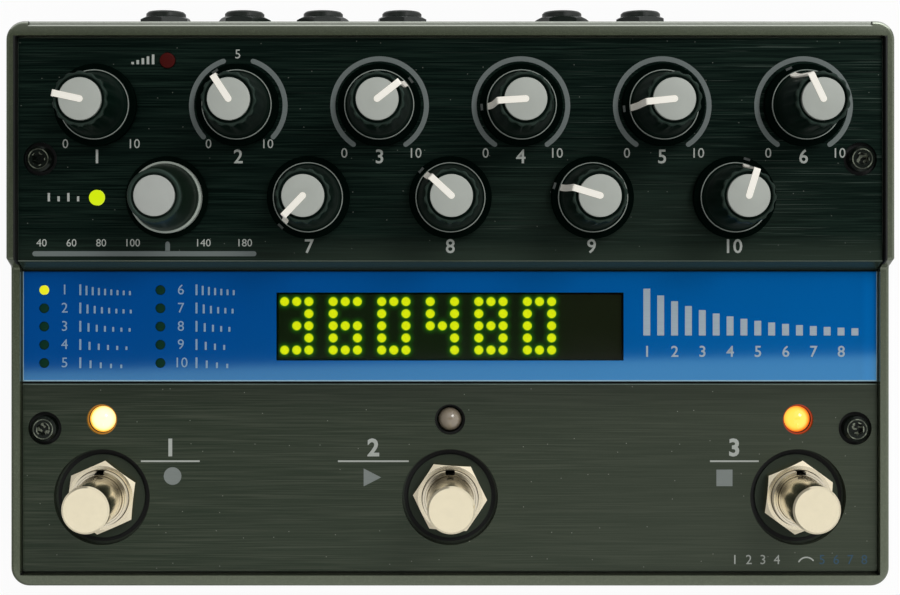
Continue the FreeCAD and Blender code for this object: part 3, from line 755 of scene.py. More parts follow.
@dataclass(frozen=True)
class TurnedMetal:
    """Turned or drawn metal with fine tool marks, and a thread in a band of heights."""

    name: str
    colour: Colour
    rough: float
    marks: float = 4.0
    metallic: float = 1.0
    thread: Point | None = None
    thread_depth: float = 0.12
    pitch: float = 0.75
    # Painted highlights: a bright ring and glints round each screw's key hole.
    ring: tuple[float, float, float, float] | None = None
    glint: Colour = (0.30, 0.33, 0.25)
    glint_radius: float = 1.5
    # Painted shade: dark rings at these reaches from each footswitch, and black in the key's slot.
    grooves: tuple[Point, ...] = ()
    groove: Colour = (0.030, 0.024, 0.014)
    key: Point | None = None
    worn: Worn | None = None
    # Painted shade: darker inside this reach from each footswitch.
    bore: float | None = None
    bore_colour: Colour = (0.36, 0.29, 0.18)
    # A faint glow on faces that look up: painted light.
    lift: float = 0.0

    def material(self) -> bpy.types.Material:
        """Builds the material.

        Returns:
            The material.
        """
        g = Graph(self.name)
        rings = g.noise(1.0, (0.8, 0.8, self.marks))
        blotch = g.noise(0.5, detail=3.0)
        colour = g.mix(g.times(blotch, 0.3), self.colour, scaled(self.colour, 0.8))
        if self.ring is not None:
            colour = self.socket_screw(g, colour)
        if self.grooves:
            colour = self.grooved(g, colour)
        rough = g.calc("ADD", g.times(rings, 0.08), self.rough - 0.04)
        normal = g.bump(rings, 0.003, 0.2)
        if self.thread is not None:
            normal = g.bump(self.thread_wave(g), self.thread_depth, 1.0, normal)
        metal: Value = self.metallic
        if self.worn is not None:
            reach = g.reach(*g.switch_offsets())
            part = self.worn.share(g, reach)
            metal = g.calc("SUBTRACT", metal, g.times(part, self.worn.matt))
            rough = g.calc("ADD", rough, g.times(part, self.worn.rougher))
            # Painted shade inside the bore.
            if self.bore is not None:
                colour = g.mix(g.calc("LESS_THAN", reach, self.bore), colour, self.bore_colour)
        # Painted light: a faint glow on faces that look up.
        lift: Value = g.band(g.upward(), 0.97, 0.999, 0.0, self.lift) if self.lift else 0.0
        return g.finish(g.principled(colour, rough, normal, Metallic=metal,
                                     Emission_Color=self.colour, Emission_Strength=lift))

    def grooved(self, g: Graph, colour: Value) -> Socket:
        """Adds painted shade: dark rings for the gaps round each footswitch, and black in the
        key's slot.

        Args:
            g: The graph that is being built.
            colour: The metal's own colour.

        Returns:
            The colour's socket.
        """
        across, along = g.switch_offsets()
        reach = g.reach(across, along)
        for low, high in self.grooves:
            colour = g.mix(g.within(reach, low, high), colour, self.groove)
        if self.key is not None:
            half, start = self.key
            slot = g.times(g.calc("LESS_THAN", g.calc("ABSOLUTE", across), half),
                           g.calc("GREATER_THAN", along, start))
            colour = g.mix(slot, colour, BLACK)
        return colour

    def thread_wave(self, g: Graph) -> Socket:
        """The thread's height pattern, which fades out at its ends and on level faces.

        Args:
            g: The graph that is being built.

        Returns:
            The pattern's socket.
        """
        low, high = self.thread
        run_out = 0.3
        return g.times(g.calc("SINE", g.times(g.axis("Z"), math.tau / self.pitch)),
                       Fade("Z", low, low + run_out).share(g),
                       Fade("Z", high - run_out, high, 1.0, 0.0).share(g),
                       g.band(g.calc("ABSOLUTE", g.upward()), 0.1, 0.25, 1.0, 0.0))

    def socket_screw(self, g: Graph, colour: Value) -> Socket:
        """Adds a painted highlight ring and a few painted glints round the key hole of each
        mirrored screw.

        Args:
            g: The graph that is being built.
            colour: The screws' own colour.

        Returns:
            The colour's socket.
        """
        x, y, low, high = self.ring
        reach = g.reach(g.calc("SUBTRACT", g.calc("ABSOLUTE", g.axis("X")), x),
                        g.calc("SUBTRACT", g.calc("ABSOLUTE", g.axis("Y")), y))
        # Painted highlight ring and painted glints.
        worn = g.times(g.within(reach, low, high), g.band(g.noise(0.6), 0.4, 0.65, 0.25, 1.0))
        glint = g.times(g.calc("LESS_THAN", reach, self.glint_radius),
                        g.band(g.noise(1.1, detail=0.0), 0.55, 0.66))
        return g.mix(g.calc("MAXIMUM", worn, glint), colour, self.glint)


@dataclass(frozen=True)
class Rubber:
    """Matt rubber with a pitted skin."""

    name: str
    colour: Colour

    def material(self) -> bpy.types.Material:
        """Builds the material.

        Returns:
            The material.
        """
        g = Graph(self.name)
        pits = g.cells(2.4)
        dust = g.noise(0.6, detail=4.0)
        colour = g.mix(g.times(dust, 0.5), self.colour, scaled(self.colour, 1.8, 0.01))
        return g.finish(g.principled(colour, 0.8, g.bump(pits.outputs["Distance"], 0.05, 0.5)))


@dataclass(frozen=True)
class BoardLaminate:
    """A circuit board: green mask over tracks and plated pads."""

    name: str
    mask: Colour
    track: Colour
    pad: Colour

    def material(self) -> bpy.types.Material:
        """Builds the material.

        Returns:
            The material.
        """
        g = Graph(self.name)
        tracks = g.add("ShaderNodeTexBrick")
        g.feed(tracks.inputs["Vector"], g.place())
        g.feed(tracks.inputs["Scale"], 0.35)
        g.feed(tracks.inputs["Mortar Size"], 0.06)
        pad = g.band(g.cells(0.4).outputs["Distance"], 0.16, 0.2, 1.0, 0.0)
        colour = g.mix(tracks.outputs["Fac"], self.mask, self.track)
        return g.finish(g.principled(g.mix(pad, colour, self.pad),
                                     g.band(pad, 0.0, 1.0, 0.42, 0.25),
                                     g.bump(tracks.outputs["Fac"], 0.03, 0.6),
                                     Metallic=g.times(pad, 0.9)))


@dataclass(frozen=True)
class PrintInk:
    """Screen-printed ink, a little uneven along the brushed grain."""

    name: str
    colour: Colour
    cover: float = 0.85

    def material(self) -> bpy.types.Material:
        """Builds the material.

        Returns:
            The material.
        """
        g = Graph(self.name)
        grain = g.noise(1.0, (0.2, 4.0, 4.0))
        colour = g.mix(g.band(grain, 0.25, 0.75, 0.0, 1.0 - self.cover), self.colour,
                       scaled(self.colour, 0.55))
        return g.finish(g.principled(colour, 0.6, g.bump(grain, 0.004, 0.4)))


@dataclass(frozen=True)
class LampLens:
    """A moulded lamp lens, lit or dark."""

    name: str
    core: Colour
    edge: Colour
    strength: float = 0.0
    coat: float = 1.0
    rough: float = 0.2
    shine: float = 0.5

    def material(self) -> bpy.types.Material:
        """Builds the material.

        Returns:
            The material.
        """
        g = Graph(self.name)
        facing = g.add("ShaderNodeLayerWeight")
        g.feed(facing.inputs["Blend"], 0.35)
        rim = g.band(facing.outputs["Facing"], 0.12, 0.62)
        haze = g.noise(1.4)
        colour = g.mix(g.times(rim, g.band(haze, 0.0, 1.0, 0.8, 1.2)), self.core, self.edge)
        inputs: dict[str, Value] = {"Coat_Weight": self.coat, "Coat_Roughness": 0.03,
                                    "Specular_IOR_Level": self.shine}
        base: Value = colour
        if self.strength > 0.0:
            inputs |= {"Emission_Color": colour, "Emission_Strength": self.strength}
            base = g.mix(0.9, colour, BLACK)
        return g.finish(g.principled(base, self.rough, g.bump(haze, 0.01, 0.3), **inputs))


@dataclass(frozen=True)
class DotGlow:
    """The face of the dot display: each place shines by the glow stored on the mesh."""

    name: str
    dark: Colour
    halo: Colour
    core: Colour
    strength: float

    def material(self) -> bpy.types.Material:
        """Builds the material.

        Returns:
            The material.
        """
        g = Graph(self.name)
        glow = g.add("ShaderNodeAttribute", attribute_name=GLOW).outputs["Fac"]
        mottle = g.noise(2.5)
        shine = g.mix(g.band(glow, 0.35, 1.0), self.halo, self.core)
        power = g.times(g.calc("POWER", glow, 1.6), self.strength,
                        g.band(mottle, 0.2, 0.8, 0.9, 1.05))
        return g.finish(g.principled(self.dark, g.band(mottle, 0.0, 1.0, 0.4, 0.55),
                                     Emission_Color=shine, Emission_Strength=power))


# The case's pocket is painted as shade, and its back seam, front and right carry painted
# highlights.
PAINT = MetallicPaint("case_enamel", (0.104, 0.126, 0.076), (0.24, 0.27, 0.18),
                      pocket=(93.22, -60.9, 55.6), seam=57.0)
TRAY_PAINT = MetallicPaint("tray_enamel", (0.104, 0.126, 0.076), (0.24, 0.27, 0.18))
# The back plate's top, above the crest height, carries a painted highlight.
PLATE_PAINT = MetallicPaint("back_plate_enamel", (0.12, 0.135, 0.09), (0.26, 0.28, 0.20),
                            crest=37.6)
# The rear panel's lighter right side, fold light, back line and scratch glints are painted light.
REAR_PANEL = BrushedAnodised("rear_anodised", (0.0001, 0.0034, 0.0024), (0.0004, 0.0042, 0.0030),
                             (0.0105, 0.0235, 0.0170), (0.22, 0.24, 0.21), shine=0.1,
                             lip=(6.9, 7.5), back=55.2,
                             scratch=Fade("X", -40.0, 90.0, 0.1, 0.5))
# The front panel's lighter right side is painted light, and its shade near the strip is painted
# shade.
FRONT_PANEL = BrushedAnodised("front_anodised", (0.0146, 0.0246, 0.0122),
                              (0.0385, 0.0475, 0.0310), (0.056, 0.066, 0.045),
                              (0.30, 0.31, 0.27), tint=(0.85, 1.0, 0.85), shine=0.6, metallic=0.3,
                              shade=Fade("Y", -28.0, -19.4, 0.0, 0.32))
# The blue film's lighter right side, right end and edges are painted light.
BLUE = Acrylic("blue_film", (0.0006, 0.095, 0.40), (0.0, 0.165, 0.55), (0.42, 0.62, 0.76),
               (0.36, 0.85, 1.0), 93.1, -19.025)
SMOKED = SmokedPane("smoked_pane", (0.80, 0.84, 0.72), (0.001, 0.020, 0.001),
                    (0.016, 0.006, 0.006))
# The halo colour glows round the lit dots as painted light.
DISPLAY_FACE = DotGlow("display_face", (0.001, 0.016, 0.001), (0.06, 0.55, 0.01),
                       (0.88, 0.92, 0.002), 1.6)
# The knobs' beads and crowns carry painted highlights, and their skirts are painted shade.
KNOB = KnobPlastic("gloss_black_plastic", (0.0012, 0.0060, 0.0038), (0.29, 0.32, 0.29),
                   (40.2, 40.33), (0.6, 0.85), 39.6, (52.9, 53.6), shine=0.15)
ENCODER_KNOB = KnobPlastic("satin_black_plastic", (0.0045, 0.0100, 0.0058), (0.42, 0.46, 0.41),
                           (38.48, 40.76), (-1.1, -0.9), 38.46, (52.4, 53.6), shine=0.3)
CAP = Plastic("satin_grey_plastic", (0.415, 0.44, 0.40), 0.42, 0.006, 3.0)
ENCODER_CAP = Plastic("satin_light_grey_plastic", (0.42, 0.44, 0.41), 0.42, 0.006, 3.0)
# The pointer's lift is a faint painted glow.
POINTER = Plastic("cream_plastic", (0.97, 0.93, 0.82), 0.35, 0.004, 3.0, lift=0.10)
TICK = PrintInk("index_ink", (0.05, 0.06, 0.055))
# The nut's groove and the bushing's grooves, key slot and darker bore are painted shade; the nut's
# lift is a faint painted glow.
SWITCH_NUT = TurnedMetal("nut_nickel", (0.98, 0.88, 0.66), 0.22, grooves=((5.98, 6.2),),
                         worn=Worn((0.2, 0.35), (0.93, 0.985), 6.3), lift=0.05)
BUSHING = TurnedMetal("bushing_nickel", (0.98, 0.89, 0.70), 0.2, thread=(34.3, 36.1),
                      thread_depth=0.02, grooves=((5.0, 5.12), (5.46, 5.52)), key=(1.0, 5.22),
                      worn=Worn((-1.2, -1.1), (0.3, 0.6), 5.6), bore=5.12)
# The plungers' lift is a faint painted glow on their tops.
PLUNGER = TurnedMetal("satin_nickel", (1.0, 0.90, 0.66), 0.13, lift=0.075)
SLEEVE = TurnedMetal("sleeve_nickel", (0.60, 0.57, 0.50), 0.3)
DRAWN_STEEL = TurnedMetal("drawn_steel", (0.55, 0.55, 0.53), 0.34, thread=(38.0, 41.0))
# The screws' ring and glints are painted highlights.
OXIDE = TurnedMetal("black_oxide_steel", (0.005, 0.010, 0.006), 0.25, metallic=0.5,
                    ring=(88.2, 29.2, 1.98, 2.2))
WASHER = Plastic("matt_washer", (0.0300, 0.0400, 0.0280), 0.6, 0.03, 2.4, 0.0, 0.15)
MOULDING = Plastic("black_moulding", (0.0070, 0.0120, 0.0080), 0.30, 0.01, 1.2, 0.0, 0.6)
JACK_NUT = Plastic("black_nut", (0.0060, 0.0120, 0.0080), 0.2, 0.004, 1.2, 0.0, 0.8)
FOOT = Rubber("foot_rubber_skin", (0.018, 0.018, 0.018))
BOARD = BoardLaminate("board_laminate", (0.01, 0.09, 0.03), (0.02, 0.15, 0.05), (0.7, 0.55, 0.25))
DISPLAY_CASE = Plastic("display_case_plastic", (0.006, 0.007, 0.006), 0.45, 0.01)
INK = PrintInk("white_ink", (0.46, 0.49, 0.45))
ARC_INK = PrintInk("grey_ink", (0.150, 0.180, 0.172))
SYMBOL_INK = PrintInk("mid_grey_ink", (0.225, 0.255, 0.24))
PALE_BLUE_INK = PrintInk("pale_blue_ink", (0.25, 0.39, 0.54))
LIGHT_BLUE_INK = PrintInk("light_blue_ink", (0.38, 0.47, 0.54))
DIM_BLUE_INK = PrintInk("dim_blue_ink", (0.025, 0.08, 0.13))
# Glowing rings on the lit lamps' holes: painted light.
AMBER_GLOW = LampLens("amber_glow", (0.75, 0.30, 0.02), (0.6, 0.2, 0.01), 0.45, 0.0)
RED_GLOW = LampLens("red_glow", (0.75, 0.07, 0.01), (0.6, 0.05, 0.01), 0.45, 0.0)


class LampState(Enum):
    """The finish of a lamp for each of its states."""

    AMBER = LampLens("amber_lit", (1.0, 0.84, 0.42), (1.0, 0.42, 0.02), 1.7)
    ORANGE = LampLens("orange_lit", (1.0, 0.66, 0.08), (1.0, 0.13, 0.01), 1.25)
    CLEAR = LampLens("clear_unlit", (0.30, 0.25, 0.185), (0.085, 0.07, 0.05))
    YELLOW = LampLens("yellow_lit", (0.76, 0.76, 0.01), (0.85, 0.88, 0.10), 1.0, 0.1, 0.4, 0.2)
    LIME = LampLens("lime_lit", (0.60, 0.76, 0.0), (0.66, 0.82, 0.04), 1.0, 0.1, 0.4, 0.2)
    GREEN = LampLens("green_unlit", (0.0015, 0.032, 0.016), (0.001, 0.020, 0.012),
                     coat=0.0, rough=0.45, shine=0.1)
    RED = LampLens("red_unlit", (0.060, 0.003, 0.002), (0.04, 0.002, 0.0015),
                   coat=0.0, rough=0.45, shine=0.1)


_made: dict[str, bpy.types.Material] = {}


def material(finish: Finish) -> bpy.types.Material:
    """The material of a finish, built once.

    Args:
        finish: One of the finish classes above.

    Returns:
        The material.
    """
    if finish.name not in _made:
        _made[finish.name] = finish.material()
    return _made[finish.name]


# Mesh helpers


def piece(name: str, bm: bmesh.types.BMesh, finish: Finish, body: str,
          crease: float = 35.0) -> bpy.types.Object:
    """Makes an object of a mesh, dresses it and lets it ride on a body.

    Args:
        name: The piece's name.
        bm: The mesh in millimetres, which is freed here.
        finish: The finish.
        body: The body that the piece rides on.
        crease: Edges sharper than this many degrees are shaded sharp.

    Returns:
        The object.
    """
    mesh = bpy.data.meshes.new(name)
    bmesh.ops.scale(bm, vec=(MM, MM, MM), verts=bm.verts)
    bm.to_mesh(mesh)
    bm.free()
    mesh.shade_smooth()
    mesh.set_sharp_from_angle(angle=math.radians(crease))
    mesh.materials.append(material(finish))
    made = bpy.data.objects.new(name, mesh)
    bpy.context.scene.collection.objects.link(made)
    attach(made, body)
    LOG.info("%s: %d faces on %s", name, len(mesh.polygons), body)
    return made


def spun(section: Iterable[Point], centre: Point, steps: int,
         closed: bool = False) -> bmesh.types.BMesh:
    """A turned body.

    Args:
        section: Radius and height of each point, from the axis round to the axis.
        centre: The axis' place.
        steps: Facets round the axis.
        closed: Whether the section stays off the axis and closes on itself, as a ring's does.

    Returns:
        The mesh in millimetres.
    """
    bm = bmesh.new()
    x, y = centre
    ends = [bm.verts.new((x + radius, y, height)) for radius, height in section]
    edges = [bm.edges.new(pair) for pair in zip(ends, ends[1:] + ends[:1] * closed)]
    bmesh.ops.spin(bm, geom=ends + edges, cent=(x, y, 0.0), axis=(0.0, 0.0, 1.0),
                   angle=math.tau, steps=steps, use_merge=True)
    bmesh.ops.remove_doubles(bm, verts=bm.verts, dist=WELD)
    bmesh.ops.recalc_face_normals(bm, faces=bm.faces)
    return bm


def rounded(profile: list[Point], radii: Iterable[float], cuts: int = 4) -> list[Point]:
    """A profile with its corners rounded.

    Args:
        profile: The corner points.
        radii: The radius at each corner, 0 for a sharp one.
        cuts: Segments in each round.

    Returns:
        The points of the rounded profile.
    """
    made: list[Point] = []
    for i, ((x, y), radius) in enumerate(zip(profile, radii)):
        if radius <= 0.0 or i in (0, len(profile) - 1):
            made.append((x, y))
            continue
        here = Vector((x, y))
        back = (Vector(profile[i - 1]) - here).normalized()
        on = (Vector(profile[i + 1]) - here).normalized()
        half = back.angle(on) / 2
        reach = radius / math.tan(half)
        middle = here + (back + on).normalized() * radius / math.sin(half)
        first, last = here + back * reach - middle, here + on * reach - middle
        for k in range(cuts + 1):
            made.append(tuple(middle + first.slerp(last, k / cuts).normalized() * radius))
    return made


def slab(outline: list[Point], bottom: float, top: float) -> bmesh.types.BMesh:
    """A flat plate with the given outline.

    Args:
        outline: The corners in order.
        bottom: The height of its underside.
        top: The height of its upper side.

    Returns:
        The mesh in millimetres.
    """
    bm = bmesh.new()
    base = bm.faces.new([bm.verts.new((x, y, bottom)) for x, y in outline])
    lifted = bmesh.ops.extrude_face_region(bm, geom=[base])
    raised = [v for v in lifted["geom"] if isinstance(v, bmesh.types.BMVert)]
    bmesh.ops.translate(bm, vec=(0.0, 0.0, top - bottom), verts=raised)
    bmesh.ops.recalc_face_normals(bm, faces=bm.faces)
    return bm


def joined(parts: Iterable[bmesh.types.BMesh]) -> bmesh.types.BMesh:
    """Joins meshes into one.

    Args:
        parts: The meshes, which are freed here.

    Returns:
        The joined mesh.
    """
    whole = bmesh.new()
    for part in parts:
        held = bpy.data.meshes.new("part")
        part.to_mesh(held)
        part.free()
        whole.from_mesh(held)
        bpy.data.meshes.remove(held)
    return whole


def box_outline(left: float, right: float, front: float, back: float) -> list[Point]:
    """The corners of a rectangle."""
    return [(left, front), (right, front), (right, back), (left, back)]


def around(centre: Point, radius: float, turn: float) -> Point:
    """The point at a distance and an angle in radians from a centre."""
    return centre[0] + radius * math.cos(turn), centre[1] + radius * math.sin(turn)


def disc_outline(centre: Point, radius: float, steps: int = 40) -> list[Point]:
    """The corners of a disc."""
    return [around(centre, radius, math.tau * i / steps) for i in range(steps)]


def pill_outline(left: float, right: float, middle: float, width: float) -> list[Point]:
    """The outline of a bar with rounded ends.

    Args:
        left: The left end.
        right: The right end.
        middle: The middle line's place.
        width: The bar's width.

    Returns:
        The corners in order.
    """
    half = width / 2
    turns = [math.pi * k / 8 - math.pi / 2 for k in range(9)]
    return ([around((right - half, middle), half, turn) for turn in turns]
            + [around((left + half, middle), -half, turn) for turn in turns])


def arc_outline(centre: Point, radius: float, width: float, start: float,
                end: float) -> list[Point]:
    """The outline of an arc stroke with rounded ends.

    Args:
        centre: The arc's middle.
        radius: The radius of the stroke's middle line.
        width: The stroke's width.
        start: The first angle in degrees.
        end: The last angle in degrees.

    Returns:
        The corners in order.
    """
    half = width / 2
    steps = max(12, int(abs(end - start) / 3))
    turns = [math.radians(start + (end - start) * i / steps) for i in range(steps + 1)]

    def tip(turn: float, way: float) -> list[Point]:
        """The rounded end at a turn."""
        return [around(around(centre, radius, turn), half, turn + way * math.pi * k / 6)
                for k in range(1, 6)]

    way = 1.0 if end > start else -1.0
    return ([around(centre, radius + half, turn) for turn in turns] + tip(turns[-1], way)
            + [around(centre, radius - half, turn) for turn in reversed(turns)]
            + tip(turns[0], -way)[::-1])


def text_mesh(words: str, size: float, middle: Point, bottom: float, thickness: float,
              weight: float = 0.0) -> bmesh.types.BMesh:
    """A mesh of plain figures.

    Args:
        words: The figures.
        size: The height of the type in millimetres.
        middle: The place of their middle.
        bottom: The height that they stand on.
        thickness: How thick the ink is.
        weight: How much the strokes are thickened, in millimetres.

    Returns:
        The mesh in millimetres.
    """
    curve = bpy.data.curves.new("figures", "FONT")
    curve.body = words
    curve.size = size
    curve.align_x = "CENTER"
    curve.align_y = "CENTER"
    curve.offset = weight
    curve.extrude = thickness / 2
    curve.resolution_u = 3
    holder = bpy.data.objects.new("figures", curve)
    bpy.context.scene.collection.objects.link(holder)
    mesh = bpy.data.meshes.new_from_object(
        holder.evaluated_get(bpy.context.evaluated_depsgraph_get()))
    bm = bmesh.new()
    bm.from_mesh(mesh)
    bmesh.ops.translate(bm, vec=(middle[0], middle[1], bottom + thickness / 2), verts=bm.verts)
    bpy.data.objects.remove(holder)
    bpy.data.curves.remove(curve)
    bpy.data.meshes.remove(mesh)
    return bm


def turned(bm: bmesh.types.BMesh, centre: Point, degrees: float) -> None:
    """Turns a mesh about an upright axis."""
    bmesh.ops.rotate(bm, cent=(*centre, 0.0), verts=bm.verts,
                     matrix=Matrix.Rotation(math.radians(degrees), 3, "Z"))


# Studio


@dataclass
class Studio:
    """The camera, the floor, the light tent and the lamp."""

    camera_place: Triple = (-4.84, 12.2, 368.7)
    lens: float = 61.64
    sensor: float = 36.0
    shift: Point = (0.0247, -0.066)
    clip: Point = (0.01, 20.0)
    floor_half: float = 4000.0
    floor_tones: tuple[Colour, Colour] = ((0.82, 0.82, 0.82), (0.78, 0.78, 0.78))
    floor_shadow: float = 0.05
    surround: float = 0.95
    left_wall: float = 0.34
    overhead: float = 0.012
    roof_sides: Point = (0.52, 0.38)
    roof_back: Point = (0.36, 0.2)
    roof_front: Point = (-0.0825, -0.0785)
    roof_slant: float = -0.0153
    roof_blur: float = -0.014
    left_dimming: Point = (-0.2, -0.9)
    key_place: Triple = (520.0, 620.0, 900.0)
    key_size: float = 420.0
    key_power: float = 4.0

    def build(self) -> None:
        """Makes everything round the object."""
        self.make_camera()
        self.make_floor()
        self.make_tent()
        self.make_key()

    def make_camera(self) -> None:
        """Sets the camera straight above."""
        data = bpy.data.cameras.new("camera")
        data.lens = self.lens
        data.sensor_width = self.sensor
        data.shift_x, data.shift_y = self.shift
        data.clip_start, data.clip_end = self.clip
        camera = bpy.data.objects.new("camera", data)
        camera.location = Vector(self.camera_place) * MM
        bpy.context.scene.collection.objects.link(camera)
        bpy.context.scene.camera = camera

    def make_floor(self) -> None:
        """Lays a pale floor that shows white and keeps the shadow."""
        g = Graph("studio_floor")
        matt = g.principled(g.mix(g.times(g.noise(0.02), 0.04), *self.floor_tones), 0.7)
        glow = g.add("ShaderNodeEmission")
        g.feed(glow.inputs["Color"], WHITE)
        g.feed(glow.inputs["Strength"], 1.0)
        seen = g.add("ShaderNodeLightPath").outputs["Is Camera Ray"]
        share = g.times(seen, 1.0 - self.floor_shadow)
        floor_material = g.finish(g.blend(share, matt, glow.outputs[0]))
        bm = bmesh.new()
        bmesh.ops.create_grid(bm, x_segments=1, y_segments=1, size=self.floor_half * MM)
        mesh = bpy.data.meshes.new("floor")
        bm.to_mesh(mesh)
        bm.free()
        mesh.materials.append(floor_material)
        floor = bpy.data.objects.new("floor", mesh)
        bpy.context.scene.collection.objects.link(floor)

    def make_tent(self) -> None:
        """Builds the tent: bright walls and a dark roof with a slanted front edge."""
        g = Graph("tent", bpy.data.worlds)
        way = g.add("ShaderNodeTexCoord").outputs["Generated"]
        height = g.calc("MAXIMUM", g.part(way, "Z"), 0.02)
        across = g.calc("DIVIDE", g.part(way, "X"), height)
        along = g.calc("DIVIDE", g.part(way, "Y"), height)
        slant = g.calc("ADD", along, g.times(across, self.roof_slant))
        blur = g.calc("MAXIMUM", g.times(across, self.roof_blur), 0.0)
        low, high = self.roof_front
        roof = g.times(g.band(g.calc("ABSOLUTE", across), *self.roof_sides),
                       g.band(along, *self.roof_back),
                       g.band(slant, g.calc("SUBTRACT", low, blur), high))
        dimming = g.times(g.band(across, *self.left_dimming), self.surround - self.left_wall)
        wall = g.calc("SUBTRACT", self.surround, dimming)
        shade = g.calc("SUBTRACT", wall, g.times(roof, g.calc("SUBTRACT", wall, self.overhead)))
        seen = g.add("ShaderNodeLightPath").outputs["Is Camera Ray"]
        background = g.add("ShaderNodeBackground")
        g.feed(background.inputs["Strength"],
               g.calc("ADD", g.times(shade, g.calc("SUBTRACT", 1.0, seen)), seen))
        bpy.context.scene.world = g.finish(background.outputs[0], "ShaderNodeOutputWorld")

    def make_key(self) -> None:
        """Hangs the one soft lamp, which shines on the object."""
        data = bpy.data.lights.new("key", "AREA")
        data.shape = "RECTANGLE"
        data.size = data.size_y = self.key_size * MM
        data.energy = self.key_power
        lamp = bpy.data.objects.new("key", data)
        place = Vector(self.key_place)
        lamp.location = place * MM
        lamp.rotation_mode = "QUATERNION"
        lamp.rotation_quaternion = place.to_track_quat("Z", "Y")
        bpy.context.scene.collection.objects.link(lamp)


# Carried-over parts


def dress(finishes: dict[str, Finish]) -> None:
    """Gives carried-over parts their finishes.

    Args:
        finishes: The finish of each node. Nodes that the frame lacks are passed over.
    """
    for node, finish in finishes.items():
        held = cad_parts.get(node)
        if held is None:
            LOG.warning("%s: not in the frame", node)
            continue
        for index in range(len(held.data.materials)):
            held.data.materials[index] = material(finish)
        LOG.info("%s: %s", node, finish.name)


@dataclass
class Dressed:
    """A sub-assembly whose parts are carried over from the solids."""

    finishes: dict[str, Finish] = field(default_factory=dict)

    def build(self) -> None:
        """Dresses the parts."""
        dress(self.finishes)


@dataclass
class Case(Dressed):
    """The housing, its base and back plate, the feet, the screws and the two top panels."""

    finishes: dict[str, Finish] = field(default_factory=lambda: {
        "housing": PAINT, "base_tray": TRAY_PAINT, "back_plate": PLATE_PAINT,
        "rubber_feet": FOOT, "case_screws": OXIDE,
        "rear_panel": REAR_PANEL, "front_panel": FRONT_PANEL, "display_fascia": BLUE})


@dataclass
class Inside(Dressed):
    """The parts under the panels: controls, boards and the display's module."""

    finishes: dict[str, Finish] = field(default_factory=lambda: {
        "potentiometers": DRAWN_STEEL, "encoder_housing": DRAWN_STEEL,
        "shaft_nuts": DRAWN_STEEL, "encoder_push_stem": DRAWN_STEEL,
        "control_board": BOARD, "main_board": BOARD, "display_module": DISPLAY_CASE})


@dataclass
class Footswitches(Dressed):
    """The three footswitches: bodies, washers, nuts and plungers."""

    finishes: dict[str, Finish] = field(default_factory=lambda: {
        "footswitch_bodies": BUSHING, "footswitch_washers": WASHER, "footswitch_nuts": SWITCH_NUT,
        "footswitch_plunger_1": PLUNGER, "footswitch_plunger_2": PLUNGER,
        "footswitch_plunger_3": PLUNGER})


# Print


